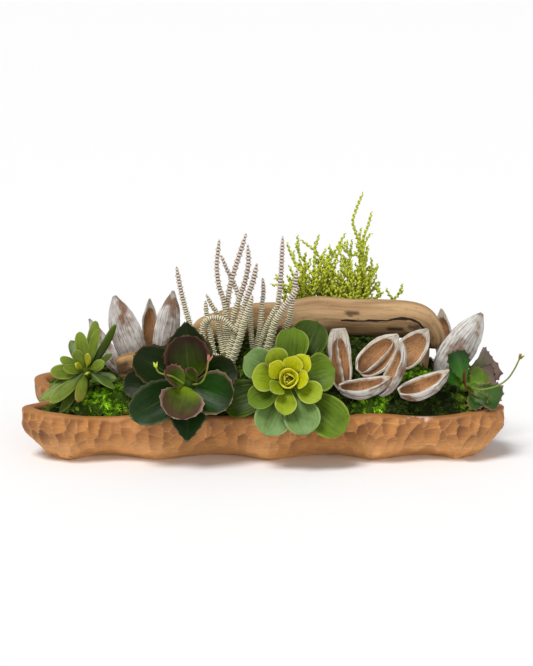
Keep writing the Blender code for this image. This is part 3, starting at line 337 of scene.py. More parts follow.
class Value:
    """One output of a shader node, for shader maths written as Python expressions."""

    def __init__(self, graph: Graph, socket: bpy.types.NodeSocket) -> None:
        """Wraps a socket of a graph."""
        self.graph = graph
        self.socket = socket

    def __add__(self, other: Number) -> Value:
        """This plus another number."""
        return self.graph.math("ADD", self, other)

    __radd__ = __add__

    def __sub__(self, other: Number) -> Value:
        """This less another number."""
        return self.graph.math("SUBTRACT", self, other)

    def __rsub__(self, other: Number) -> Value:
        """Another number less this."""
        return self.graph.math("SUBTRACT", other, self)

    def __mul__(self, other: Number) -> Value:
        """This times another number."""
        return self.graph.math("MULTIPLY", self, other)

    __rmul__ = __mul__

    def __truediv__(self, other: Number) -> Value:
        """This over another number."""
        return self.graph.math("DIVIDE", self, other)


class Graph:
    """The shader nodes of one material, ending in a Principled shader."""

    def __init__(self, name: str, uniform: dict[str, Any]) -> None:
        """Makes the material.

        Args:
            name: its name.
            uniform: values that are the same all over, by the shader's socket.
        """
        self.material = bpy.data.materials.new(name)
        self.material.use_nodes = True
        self.tree = self.material.node_tree
        self.shader = self.tree.nodes["Principled BSDF"]
        for socket, value in uniform.items():
            self.shader.inputs[socket].default_value = value

    def node(
        self,
        kind: str,
        settings: dict[str, Any] | None = None,
        inputs: dict[Any, Any] | None = None,
        output: int | str = 0,
    ) -> Value:
        """Adds a node.

        Args:
            kind: the node's type, without its ShaderNode prefix.
            settings: its own settings, which are set first.
            inputs: values or links by socket name or number.
            output: which output is wanted.

        Returns:
            That output.
        """
        made = self.tree.nodes.new("ShaderNode" + kind)
        for setting, value in (settings or {}).items():
            setattr(made, setting, value)
        for socket, value in (inputs or {}).items():
            self.feed(made.inputs[socket], value)
        return Value(self, made.outputs[output])

    def feed(self, socket: bpy.types.NodeSocket, value: Any) -> None:
        """Links a value to a socket, or sets the socket to a plain one."""
        if isinstance(value, Value):
            self.tree.links.new(value.socket, socket)
        elif socket.type == "RGBA":
            socket.default_value = (*value, 1.0)
        else:
            socket.default_value = value

    def math(self, operation: str, *terms: Number) -> Value:
        """A Math node on numbers."""
        return self.node("Math", {"operation": operation}, dict(enumerate(terms)))

    def mix(self, first: Any, second: Any, share: Number) -> Value:
        """Blends two colours by a share."""
        return self.node("Mix", {"data_type": "RGBA"}, {0: share, 6: first, 7: second}, 2)

    def layer(self, color: Any, tint: Any, value: Value, low: float, high: float, share: Number) -> Value:
        """Lays a tint over a colour where a value is high, or low.

        Args:
            color: the colour below.
            tint: the colour above.
            value: a number that varies over the surface.
            low: where the tint starts to show.
            high: where it shows most; it may be below low.
            share: how strong it is there.

        Returns:
            The new colour.
        """
        return self.mix(color, tint, self.span(value, low, high) * share)

    def span(self, value: Number, low: float, high: float, first: float = 0.0, last: float = 1.0) -> Value:
        """Maps low to high onto first to last, held at both ends."""
        inputs = {0: value, 1: low, 2: high, 3: first, 4: last}
        return self.node("MapRange", {"clamp": True}, inputs)

    def share(self, name: str) -> Value:
        """A number kept at the mesh's points."""
        return self.node("Attribute", {"attribute_name": name}, output="Fac")

    def paint(self) -> Value:
        """The colour painted on the mesh's points."""
        return self.node("Attribute", {"attribute_name": "paint"}, output="Color")

    def place(self, stretch: Place = (1.0, 1.0, 1.0)) -> Value:
        """Places on the piece, stretched along its axes."""
        inputs = {0: self.node("TexCoord", output="Object"), 1: stretch}
        return self.node("VectorMath", {"operation": "MULTIPLY"}, inputs)

    def vector(self, x: Number, y: Number, z: Number) -> Value:
        """Three numbers as a place."""
        return self.node("CombineXYZ", inputs={0: x, 1: y, 2: z})

    def grain(self, at: Value, scale: float, detail: float = 3.0, roughness: float = 0.55) -> Value:
        """Noise from 0 to 1."""
        inputs = {"Vector": at, "Scale": scale, "Detail": detail, "Roughness": roughness}
        return self.node("TexNoise", inputs=inputs)

    def relief(self, height: Value, depth: float) -> Value:
        """Turns a height from 0 to 1 into a bumped normal, depth metres deep."""
        return self.node("Bump", inputs={"Distance": depth, "Height": height})

    def finish(self, color: Value, rough_value: Number | None, normal: Value) -> Material:
        """Feeds the shader and gives the material.

        Args:
            color: the base colour.
            rough_value: roughness where it varies, or None.
            normal: a bumped normal.

        Returns:
            The material.
        """
        self.feed(self.shader.inputs["Base Color"], color)
        self.feed(self.shader.inputs["Normal"], normal)
        if rough_value is not None:
            self.feed(self.shader.inputs["Roughness"], rough_value)
        return self.material


# Finishes
@dataclass(frozen=True)
class BowlWood:
    """Warm carved wood, darker in its pores and pits."""

    pore: Color = tone(104, 58, 28)
    sunny: Color = tone(222, 158, 98)
    fibre_stretch: Place = (0.9, 5.0, 14.0)

    def build(self) -> Material:
        """Makes the material."""
        graph = Graph("carved_bowl_wood", {"Specular IOR Level": 0.35})
        fibres = graph.grain(graph.place(self.fibre_stretch), 26.0, 6.0, 0.62)
        patches = graph.grain(graph.place((1.0, 1.0, 1.6)), 16.0, 3.0)
        pits = graph.grain(graph.place((1.0, 2.4, 2.4)), 210.0, 2.0)
        tooth = graph.grain(graph.place((1.0, 1.0, 6.0)), 120.0, 3.0)
        color = graph.layer(graph.paint(), self.pore, fibres, 0.66, 0.36, 0.26)
        color = graph.layer(color, self.sunny, patches, 0.5, 0.8, 0.35)
        color = graph.layer(color, self.pore, pits, 0.64, 0.72, 0.5)
        normal = graph.relief(fibres * 0.7 + tooth * 0.5, 0.0006)
        return graph.finish(color, graph.span(fibres, 0.2, 0.8, 0.62, 0.46), normal)


@dataclass(frozen=True)
class LeafSkin:
    """Moulded leaf: painted colour, ribs that fan out along it, a mottle and a soft shine."""

    name: str
    gloss: float
    ribs: float
    rib_depth: float
    light: float
    dark: float
    mottle: float
    midrib: float = 0.0
    rib_color: Color = tone(172, 186, 88)
    specular: float = 0.25
    shadow: Color = (0.0, 0.0, 0.0)

    def build(self) -> Material:
        """Makes the material."""
        graph = Graph(self.name, {"Specular IOR Level": self.specular})
        along, across = graph.share("along"), graph.share("across")
        lines = graph.grain(graph.vector(across * self.ribs, along * 1.1, 0.0), 1.0, 4.0, 0.6)
        blotch = graph.grain(graph.place(), 70.0, 4.0, 0.6)
        fine = graph.grain(graph.place(), 900.0, 2.0)
        color = graph.layer(graph.paint(), self.rib_color, lines, 0.54, 0.70, self.light)
        color = graph.layer(color, self.shadow, lines, 0.47, 0.32, self.dark)
        color = graph.layer(color, self.shadow, blotch, 0.48, 0.72, self.mottle)
        from_middle = graph.math("ABSOLUTE", across)
        rib = graph.span(along, 0.95, 0.5) * self.midrib
        color = graph.layer(color, self.rib_color, from_middle, 0.05, 0.015, rib)
        normal = graph.relief(lines + blotch * 0.5 + fine * 0.1, self.rib_depth)
        shine = graph.span(blotch, 0.3, 0.8, self.gloss - 0.06, self.gloss + 0.12)
        return graph.finish(color, shine, normal)


@dataclass(frozen=True)
class MossGreen:
    """Dry-preserved moss: painted green, with a painted shade at the roots of its fronds and in the hollows
    of its bed.
    """

    name: str
    fine: float
    # A painted shade at the roots of the fronds.
    root_shade: Color = tone(12, 18, 4)
    dull: Color = tone(26, 34, 8)

    def build(self) -> Material:
        """Makes the material."""
        graph = Graph(self.name, {"Roughness": 0.85, "Specular IOR Level": 0.2})
        speck = graph.grain(graph.place(), self.fine, 4.0, 0.7)
        # A painted shade at the roots of the fronds and in the bed's hollows.
        color = graph.layer(graph.paint(), self.root_shade, graph.share("tip"), 0.8, 0.1, 0.75)
        color = graph.layer(color, self.dull, speck, 0.62, 0.35, 0.35)
        return graph.finish(color, None, graph.relief(speck, 0.0012))


@dataclass(frozen=True)
class StemSkin:
    """Dull skin of a painted stem, flecked with a darker colour."""

    name: str
    roughness: float
    specular: float
    fleck: Color
    fleck_scale: float
    fleck_from: float
    fleck_share: float
    depth: float

    def build(self) -> Material:
        """Makes the material."""
        graph = Graph(self.name, {"Roughness": self.roughness, "Specular IOR Level": self.specular})
        speck = graph.grain(graph.place(), self.fleck_scale, 3.0)
        color = graph.layer(graph.paint(), self.fleck, speck, self.fleck_from, 0.8, self.fleck_share)
        return graph.finish(color, None, graph.relief(speck, self.depth))


@dataclass(frozen=True)
class Driftwood:
    """Weathered wood with grain that follows the branch, dark streaks, pits and a drying crack."""

    name: str
    streak: Color
    streak_share: float
    # The crack's line on the front face: x, z
    crack: tuple = ()
    crack_half: float = 0.0015
    crack_sway: float = 0.004
    dark_fibre: Color = tone(84, 60, 40)
    pale_fibre: Color = tone(214, 188, 150)
    pit: Color = tone(56, 36, 22)
    # The crack's painted shadow.
    gap: Color = tone(22, 15, 10)

    def cracked(self, graph: Graph) -> Value:
        """1 in the crack, by the distance from its line, a little unsteady."""
        place = graph.place()
        split = graph.node("SeparateXYZ", inputs={0: place})
        x, y, z = (Value(graph, split.socket.node.outputs[i]) for i in range(3))
        z = z + (graph.grain(place, 90.0, 3.0) - 0.5) * self.crack_sway
        nearest: Number = 1.0
        for (ax, az), (bx, bz) in zip(self.crack, self.crack[1:]):
            run = math.hypot(bx - ax, bz - az)
            ux, uz = (bx - ax) / run, (bz - az) / run
            ahead = (x - ax) * ux + (z - az) * uz
            held = graph.math("MINIMUM", graph.math("MAXIMUM", ahead, 0.0), run)
            off_x = x - ax - held * ux
            off_z = z - az - held * uz
            nearest = graph.math("MINIMUM", nearest, graph.math("SQRT", off_x * off_x + off_z * off_z))
        uneven = graph.grain(place, 38.0, 2.0)
        wide = graph.span(uneven, 0.35, 0.65, self.crack_half * 0.5, self.crack_half * 1.3)
        front = graph.span(y, 0.012, 0.004)
        return graph.span(nearest / wide, 1.25, 0.75) * front

    def build(self) -> Material:
        """Makes the material."""
        graph = Graph(self.name, {"Roughness": 0.78, "Specular IOR Level": 0.2})
        along, around = graph.share("along"), graph.share("around")
        fibres = graph.grain(graph.vector(along * 20.0, around * 380.0, 0.0), 1.0, 5.0, 0.65)
        bands = graph.grain(graph.vector(along * 9.0, around * 75.0, 4.0), 1.0, 4.0, 0.6)
        pits = graph.grain(graph.vector(along * 150.0, around * 420.0, 1.0), 1.0, 2.0)
        color = graph.layer(graph.paint(), self.streak, bands, 0.50, 0.68, self.streak_share)
        color = graph.layer(color, self.dark_fibre, fibres, 0.54, 0.72, 0.50)
        color = graph.layer(color, self.pale_fibre, fibres, 0.44, 0.28, 0.35)
        color = graph.layer(color, self.pit, pits, 0.68, 0.74, 0.7)
        height = fibres * 0.8 + bands * 0.6 - graph.span(pits, 0.66, 0.74) * 0.5
        if self.crack:
            cracked = self.cracked(graph)
            # The crack is painted near black, a painted shadow inside it.
            color = graph.mix(color, self.gap, cracked * 0.95)
            height = height - cracked * 2.0
        return graph.finish(color, None, graph.relief(height, 0.0010))


@dataclass(frozen=True)
class HuskSkin:
    """Dry pod: whitewashed fibres outside, brown fibres inside."""

    chalk: Color = tone(226, 226, 224)
    fissure: Color = tone(88, 60, 42)
    scratched: Color = tone(108, 78, 56)
    inner_dark: Color = tone(52, 30, 18)
    inner_pale: Color = tone(190, 148, 104)
    speck: Color = tone(66, 38, 22)

    def build(self) -> Material:
        """Makes the material."""
        graph = Graph("husk_skin", {"Roughness": 0.8, "Specular IOR Level": 0.2})
        along, across = graph.share("along"), graph.share("across")
        inside = graph.share("inside")
        outside = 1.0 - inside
        fibres = graph.grain(graph.vector(across * 13.0, along * 1.3, inside * 5.0), 1.0, 5.0, 0.7)
        scratch = graph.grain(graph.vector(across * 34.0, along * 2.4, 7.0), 1.0, 3.0, 0.6)
        wash = graph.grain(graph.place((1.0, 1.0, 0.6)), 75.0, 4.0, 0.65)
        specks = graph.grain(graph.place(), 560.0, 2.0)
        color = graph.layer(graph.paint(), self.chalk, wash, 0.50, 0.64, outside * 0.55)
        color = graph.layer(color, self.fissure, fibres, 0.50, 0.40, outside * 0.70)
        color = graph.layer(color, self.scratched, scratch, 0.57, 0.66, outside * 0.65)
        color = graph.layer(color, self.inner_dark, fibres, 0.50, 0.66, inside * 0.55)
        color = graph.layer(color, self.inner_pale, scratch, 0.56, 0.70, inside * 0.40)
        color = graph.layer(color, self.speck, specks, 0.58, 0.68, inside * 0.75)
        return graph.finish(color, None, graph.relief(fibres + scratch * 0.4 + wash * 0.3, 0.0011))


@dataclass(frozen=True)
class FoamBlock:
    """Florist's foam, finely porous."""

    face: Color = tone(58, 84, 44)
    pore: Color = tone(34, 52, 28)

    def build(self) -> Material:
        """Makes the material."""
        graph = Graph("florist_foam", {"Roughness": 0.95, "Specular IOR Level": 0.1})
        pores = graph.grain(graph.place(), 700.0, 3.0)
        color = graph.mix(self.face, self.pore, graph.span(pores, 0.4, 0.7))
        return graph.finish(color, None, graph.relief(pores, 0.0006))


@dataclass(frozen=True)
class PaleFloor:
    """The studio's plain floor."""

    def build(self) -> Material:
        """Makes the material."""
        return Graph("studio_floor", {"Base Color": (0.92, 0.92, 0.92, 1.0), "Roughness": 0.7}).material


# Bowl
@dataclass
class Bowl:
    """The carved bowl: its rim from above, its section, and the gouge marks on its outside."""

    rim_height: float = 0.074
    rim_dip: float = 0.008
    lip_drop: float = 0.007
    foot_inset: float = 0.045
    hollow_inset: float = 0.012
    wall_curve: float = 2.2
    spine_half: float = 0.215
    floor_thickness: float = 0.018
    gouge_width: float = 0.0150
    gouge_height: float = 0.0220
    gouge_depth: float = 0.0046
    steps: int = 36
    wall_rows: int = 50
    # Round the outer edge: x, y, and 1 in a hollow between lobes
    rim_points: tuple = (
        (-0.338, -0.098, 0), (-0.284, -0.150, 0), (-0.218, -0.137, 1), (-0.146, -0.151, 0),
        (-0.066, -0.134, 1), (0.008, -0.152, 0), (0.090, -0.135, 1), (0.152, -0.151, 0),
        (0.224, -0.136, 1), (0.284, -0.143, 0), (0.338, -0.092, 0), (0.312, 0.004, 1),
        (0.335, 0.095, 0), (0.280, 0.148, 0), (0.215, 0.136, 1), (0.148, 0.152, 0),
        (0.078, 0.136, 1), (0.000, 0.151, 0), (-0.075, 0.135, 1), (-0.150, 0.152, 0),
        (-0.222, 0.138, 1), (-0.290, 0.156, 0), (-0.345, 0.102, 0), (-0.306, -0.002, 1),
    )
    # Inset from the outer edge and drop from the crown, from the lip over the rim and down inside
    rim_section: tuple = (
        (0.0000, 0.0070), (0.0004, 0.0046), (0.0018, 0.0020), (0.0042, 0.0005), (0.0080, 0.0000),
        (0.0140, 0.0000), (0.0180, 0.0010), (0.0208, 0.0034), (0.0224, 0.0070), (0.0236, 0.0130),
        (0.0252, 0.0215), (0.0270, 0.0300), (0.0420, 0.0560),
    )
    # The pale chip in the front rim: x, z, half width and half height
    chip: tuple = (0.213, 0.0655, 0.024, 0.007)
    wobble: float = 0.0012
    light: Color = tone(190, 129, 69)
    dark: Color = tone(112, 68, 32)
    # A painted highlight on the crests between the gouges.
    crest: Color = tone(220, 164, 104)
    # A painted bounce light, laid low on the wall.
    painted_bounce_light: Color = tone(255, 196, 128)
    bare: Color = tone(230, 204, 188)
    # A painted shade for the wall inside the rim.
    shade: Color = tone(120, 72, 40)

    def outline(self) -> tuple[Grid, Grid, np.ndarray]:
        """The rim's outer edge.

        Returns:
            Its points, the way inwards at each, and the share of a hollow between lobes.
        """
        given = np.asarray(self.rim_points, float)
        share = np.linspace(0.0, 1.0, self.steps, endpoint=False)[:, None]
        count = len(given)
        corners = [[given[(i + k) % count] for k in (-1, 0, 1, 2)] for i in range(count)]
        edge = np.vstack([bend(*four, share) for four in corners])
        places, hollow = edge[:, :2], np.clip(edge[:, 2], 0.0, 1.0)
        run = np.roll(places, -1, axis=0) - np.roll(places, 1, axis=0)
        square = np.column_stack([-run[:, 1], run[:, 0]])
        spine = places * (1.0, 0.0)
        spine[:, 0] = np.clip(spine[:, 0], -self.spine_half, self.spine_half)
        return places, unit(unit(square) + unit(spine - places)), hollow

    def gouges(self, travelled: np.ndarray, heights: Grid, total: float) -> tuple[Grid, Grid, Grid]:
        """The gouge marks: scoops that cut into each other and leave crests between them.

        Args:
            travelled: distance round the bowl of each column.
            heights: distance up the wall of each point.
            total: distance all the way round.

        Returns:
            At each point the share of the depth, 1 on the crests, and the scoop's tone from -1 to 1: a
            random tone for each scoop plus a painted shade, lighter on one side of it and darker on the
            other.
        """
        random = np.random.default_rng(SEED)
        columns = round(total / self.gouge_width)
        width = total / columns
        rows = 6
        jitter = random.uniform(-0.42, 0.42, (columns, rows, 2))
        reach = random.uniform(0.20, 0.52, (columns, rows))
        tones = random.uniform(-1.0, 1.0, (columns, rows))
        x = np.broadcast_to(travelled / width, heights.shape)
        y = heights / self.gouge_height
        best = np.full(heights.shape, -9.0)
        second = np.full(heights.shape, -9.0)
        scoop_tone_and_shade = np.zeros(heights.shape)
        for i in range(-2, 3):
            for j in range(-2, 3):
                column = (np.floor(x) + i).astype(int)
                row = (np.floor(y) + j).astype(int)
                cell = (column % columns, row % rows)
                offset = jitter[cell]
                across = x - column - 0.5 - offset[..., 0]
                upward = y - row - 0.5 - 0.5 * (column % 2) - offset[..., 1]
                depth = reach[cell] - across**2 - upward**2
                # A painted shade across each scoop: lighter on one side, darker on the other.
                side = across * 0.8 - upward * 0.5
                scoop_tone_and_shade = np.where(depth > best, tones[cell] * 0.5 + side * 1.4, scoop_tone_and_shade)
                second = np.maximum(second, np.minimum(depth, best))
                best = np.maximum(best, depth)
        return np.clip(best, -0.1, 0.6) / 0.5, ease(0.07, 0.0, best - second), scoop_tone_and_shade

    def build(self) -> Piece:
        """Builds and dresses the bowl."""
        places, inward, hollow = self.outline()
        crown = self.rim_height - self.rim_dip * hollow
        travelled = lengths_along(np.vstack([places, places[:1]]))
        foot = self.foot_inset + self.hollow_inset * hollow
        shares = np.linspace(1.0, 0.0, self.wall_rows)
        insets = foot[None] * (shares**self.wall_curve)[:, None]
        heights = (crown - self.lip_drop)[None] * (1.0 - shares)[:, None]
        depth, crest, facet_tone_and_shade = self.gouges(travelled[:-1], heights, float(travelled[-1]))
        depth *= ease(1.0, 0.93, shares)[:, None]
        wall_points = np.dstack([np.broadcast_to(places[None], (*heights.shape, 2)), heights])
        strength = np.clip(0.85 + rough(wall_points, 11.0, 6.0) * 1.1, 0.35, 1.3)
        wall_insets = insets + depth * strength * self.gouge_depth
        rim = np.asarray(self.rim_section)
        rim_insets = np.broadcast_to(rim[:, :1], (len(rim), len(places)))
        fade = ease(0.0008, 0.0070, rim[:, 1:]) * (rim_insets < 0.01)
        rim_heights = np.maximum(crown[None] - rim[:, 1:], self.floor_thickness)
        rim_heights[-1] = self.floor_thickness
        scooped = (depth * strength)[-1] * fade * self.gouge_depth
        inset = np.vstack([wall_insets[:-1], rim_insets + scooped])
        height = np.vstack([heights[:-1], rim_heights])
        flat = places[None] + inward[None] * inset[..., None]
        points = np.dstack([flat, height])
        wobble = rough(points, 30.0) * self.wobble
        wobble[:2] = 0.0
        points[..., :2] -= inward[None] * wobble[..., None]
        facet_tone_and_shade = np.vstack([facet_tone_and_shade[:-1], facet_tone_and_shade[-1] * fade])
        crest = np.vstack([crest[:-1], crest[-1] * fade])
        low = 1.0 - ease(0.0, 0.045, height)
        lumps = rough(points, 9.0, 3.0)
        # Each scoop's random tone with its painted shade, and soft lumps of tone.
        paint = mixed(self.light, self.dark, np.clip(0.36 - facet_tone_and_shade * 0.52 + lumps * 0.45, 0.0, 1.0))
        # A painted highlight along the crests between the scoops.
        paint = mixed(paint, self.crest, crest * 0.55)
        # Painted bounce light: the wall is painted lighter low down.
        paint = mixed(paint, self.painted_bounce_light, low * 0.75)
        x, z, wide, high = self.chip
        worn = ease(1.0, 0.4, np.hypot((points[..., 0] - x) / wide, (height - z) / high))
        worn = worn * (points[..., 1] < -0.1) * ease(0.020, 0.010, inset)
        paint = mixed(paint, self.bare, worn * ease(-0.12, 0.16, rough(points, 150.0, 4.0)) * 0.8)
        # A painted shade on the wall inside the rim.
        inside_shade = np.vstack([np.zeros(depth[:-1].shape), ease(0.021, 0.030, rim_insets)])
        paint = mixed(paint, self.shade, inside_shade * 0.55)
        draft = Draft()
        draft.grid(points, paint, closed=True)
        return install(draft.build("carved_bowl"), BowlWood().build(), "bowl_wood", "bowl")


# Moss
@dataclass
class MossBed:
    """The moss mat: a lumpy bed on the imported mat's surface, and the fronds that cover it."""

    node: str = "moss_mat"
    spacing: float = 0.0026
    reach: int = 2
    lump_height: float = 0.0040
    # How much lower the moss lies at the bowl's left end, and from where to where
    dip: Place = (0.008, -0.262, -0.300)
    fronds: int = 18000
    # Bright green patches: x, y, radius
    patches: tuple = ((-0.226, -0.098, 0.036), (0.150, -0.112, 0.020), (0.215, -0.060, 0.022))
    blade_length: Pair = (0.0055, 0.0125)
    # Along a blade: share of its length, and half its width there
    blade: tuple = ((0.0, 0.0008), (0.4, 0.0008), (0.75, 0.0006), (1.0, 0.0002))
    # Leaflets, a pair each: share of the blade's length where they grow, and their own length
    leaflets: tuple = ((0.25, 0.0036), (0.45, 0.0038), (0.65, 0.0032), (0.84, 0.0024))
    # How far a leaflet's foot reaches back and forward along its blade
    leaflet_foot: Pair = (0.0008, 0.0009)
    sunk: float = 0.001
    edge_drop: float = 0.0012
    sky_height: float = 0.4
    deep: Color = tone(50, 66, 14)
    green: Color = tone(88, 118, 20)
    bright: Color = tone(126, 178, 26)
    straw: Color = tone(122, 104, 44)

    def tree(self) -> BVHTree:
        """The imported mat's faces, for finding its surface."""
        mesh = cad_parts[self.node].data
        faces = [tuple(polygon.vertices) for polygon in mesh.polygons]
        return BVHTree.FromPolygons([vertex.co for vertex in mesh.vertices], faces)

    def dropped(self, tree: BVHTree, x: float, y: float) -> tuple:
        """Where a line straight down meets the mat: the place and the way its surface faces."""
        return tree.ray_cast(Vector((x, y, self.sky_height)), Vector((0.0, 0.0, -1.0)))[:2]

    def heights(self, tree: BVHTree) -> tuple[np.ndarray, np.ndarray, np.ndarray]:
        """The mat's height on an even grid, spread a little past its edge.

        Args:
            tree: the mat's faces.

        Returns:
            The grid's x values, y values and heights, with no number outside the mat.
        """
        low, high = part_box(self.node)
        margin = self.spacing * (self.reach + 1)
        xs = np.arange(low.x - margin, high.x + margin, self.spacing)
        ys = np.arange(low.y - margin, high.y + margin, self.spacing)
        height = np.full((len(xs), len(ys)), np.nan)
        for i, x in enumerate(xs):
            for j, y in enumerate(ys):
                place, _ = self.dropped(tree, x, y)
                if place is not None:
                    height[i, j] = place.z
        for _ in range(self.reach):
            around = [np.roll(height, shift, axis) for shift in (-1, 1) for axis in (0, 1)]
            filled = np.nanmean(np.stack([np.full(height.shape, np.nan), *around]), axis=0)
            height = np.where(np.isnan(height), filled - self.edge_drop, height)
        return xs, ys, height

    def lowered(self, x: np.ndarray) -> np.ndarray:
        """How much lower the moss lies at places along the bowl."""
        drop, start, end = self.dip
        return drop * ease(start, end, x)

    def shade(self, x: np.ndarray, y: np.ndarray, mottle: np.ndarray) -> np.ndarray:
        """The moss's colour at places, from its patches and a mottle from -1 to 1."""
        light = np.zeros(x.shape)
        for px, py, radius in self.patches:
            away = np.hypot(x - px, (y - py) * 1.4) / radius
            light = np.maximum(light, ease(1.25, 0.55, away + mottle * 0.25))
        paint = mixed(self.deep, self.green, ease(-0.35, 0.35, mottle))
        paint = mixed(paint, self.straw, ease(0.30, 0.60, mottle) * 0.35)
        return mixed(paint, self.bright, light * 0.9)

    def build_bed(self, xs: np.ndarray, ys: np.ndarray, height: np.ndarray) -> Piece:
        """Builds the lumpy bed under the fronds."""
        x, y = np.meshgrid(xs, ys, indexing="ij")
        points = np.dstack([x, y, np.nan_to_num(height) - self.lowered(x)])
        lumps = np.abs(rough(points, 75.0)) * 0.7 + np.abs(rough(points, 190.0, 5.0)) * 0.4
        points[..., 2] += self.lump_height * (lumps - 0.25)
        mottle = rough(points, 30.0, 9.0)
        draft = Draft("tip")
        held = ~np.isnan(height)
        # The bed's hollows keep a tip share near 0, which its material paints in shade; the lumps get less.
        raised = ease(0.05, 0.5, lumps) * 0.22
        draft.keep(points[held], self.shade(x, y, mottle)[held], {"tip": raised[held]})
        number = np.cumsum(held).reshape(held.shape) - 1
        whole = held[:-1, :-1] & held[1:, :-1] & held[1:, 1:] & held[:-1, 1:]
        corners = np.stack([number[:-1, :-1], number[1:, :-1], number[1:, 1:], number[:-1, 1:]], axis=-1)
        draft.faces = corners[whole].tolist()
        piece = draft.build("moss_bed")
        return install(piece, MossGreen("moss_bed_green", 600.0).build(), "moss", self.node)

    def roots(self, tree: BVHTree) -> tuple[Grid, Grid]:
        """Places on the mat where fronds grow, and the way its surface faces there."""
        random = np.random.default_rng(SEED + 1)
        low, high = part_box(self.node)
        places, facings = [], []
        while len(places) < self.fronds:
            x, y = random.uniform(low.x, high.x), random.uniform(low.y, high.y)
            place, facing = self.dropped(tree, x, y)
            if place is None or facing.z < 0.15:
                continue
            if noise.noise(place * 42.0) < random.uniform(-0.9, 0.1):
                continue
            places.append(place)
            facings.append(facing)
        roots = np.array(places)
        roots[:, 2] -= self.lowered(roots[:, 0])
        return roots, np.array(facings)

    def build_fronds(self, name: str, roots: Grid, facings: Grid, seed: int) -> Piece:
        """Builds fronds: a curved blade each, with small leaflets on both sides.

        Args:
            name: the piece's name.
            roots: where they grow.
            facings: the way the mat faces there.
            seed: for their lengths and leanings.

        Returns:
            The piece.
        """
        random = np.random.default_rng(seed)
        count = len(roots)
        mottle = rough(roots, 30.0, 9.0)
        lean = random.normal(0.0, 1.0, (count, 3))
        lean = unit(lean - facings * (lean * facings).sum(1)[:, None])
        ahead = facings * random.uniform(0.35, 0.95, (count, 1))
        ahead = unit(ahead + lean * random.uniform(0.5, 1.0, (count, 1)))
        length = random.uniform(*self.blade_length, (count, 1))
        droop = lean * random.uniform(0.1, 0.5, (count, 1)) - np.array([0.0, 0.0, 0.35])
        side = unit(np.cross(ahead, facings))
        base = self.shade(roots[:, 0], roots[:, 1], mottle)
        tufts = ease(-0.25, 0.30, rough(roots, 165.0, 2.0))[:, None]
        base *= (0.30 + 1.60 * tufts) * random.uniform(0.60, 1.60, (count, 1))
        draft = Draft("tip")

        def spine(share: float) -> Grid:
            """Where each blade is at a share of its length."""
            return roots - facings * self.sunk + ahead * length * share + droop * length * share**2

        for (low, low_half), (high, high_half) in zip(self.blade, self.blade[1:]):
            below, above = spine(low), spine(high)
            corners = [below - side * low_half, below + side * low_half]
            corners += [above + side * high_half, above - side * high_half]
            tips = np.array([low, low, high, high])
            draft.shards(np.stack(corners, axis=1), base[:, None], tip=tips[None])
        back, forward = self.leaflet_foot
        for share, reach in self.leaflets:
            for hand in (-1.0, 1.0):
                start = spine(share)
                twist = facings * random.uniform(-0.3, 0.7, (count, 1))
                end = start + (side * hand + ahead * 0.7 + twist) * reach
                leaflet = np.stack([start - ahead * back, end, start + ahead * forward], axis=1)
                draft.shards(leaflet, base[:, None], tip=np.array([share, 1.0, share])[None])
        return install(draft.build(name), MossGreen(name + "_green", 300.0).build(), "moss")

    def build(self) -> None:
        """Builds the bed and its fronds."""
        tree = self.tree()
        self.build_bed(*self.heights(tree))
        roots, facings = self.roots(tree)
        front = roots[:, 1] < 0.0
        self.build_fronds("moss_fronds_front", roots[front], facings[front], SEED + 2)
        self.build_fronds("moss_fronds_back", roots[~front], facings[~front], SEED + 3)


# Rosettes
@dataclass(frozen=True)
class Leaf:
    """One leaf of a rosette.

    around is its direction seen along the rosette's axis, 0 to the right and 90 up, in degrees;
    rise and tip_rise are its slope out of the rosette's plane at its root and tip, in degrees;
    set_back is how far behind the rosette's middle it grows, twist its turn about its own line,
    point how sharply a broad leaf narrows to its tip, and coat which of its plant's colours it has.
    """

    around: float
    length: float
    width: float
    rise: float
    tip_rise: float
    set_back: float = 0.0
    twist: float = 0.0
    point: float = 0.0
    coat: int = 0


@dataclass(frozen=True)
class Coat:
    """Colours of a leaf: at its root, in its middle, at its tip, on its rim and underneath."""

    root: Color
    middle: Color
    tip: Color
    rim: Color
    under: Color
    # How far the tip's colour runs down both sides
    edge: float = 0.15

    def paint(self, along: Grid, across: Grid, face: Grid, rim: Grid) -> np.ndarray:
        """The colour at each point of a leaf.

        Args:
            along: share of its length.
            across: from -1 at one edge to 1 at the other.
            face: above 0 on top, below underneath.
            rim: 1 at its edge.

        Returns:
            A colour for each point.
        """
        paint = mixed(self.root, self.middle, ease(0.05, 0.50, along))
        paint = mixed(paint, self.tip, ease(0.55, 1.0, along + np.abs(across) ** 3 * self.edge))
        paint = mixed(paint, self.under, ease(0.1, -0.3, face) * 0.8)
        return mixed(paint, self.rim, rim)


def coat(*screen: tuple[int, int, int], edge: float = 0.15) -> Coat:
    """A coat from its five colours as they look on a screen, 0 to 255."""
    return Coat(*(tone(*color) for color in screen), edge)


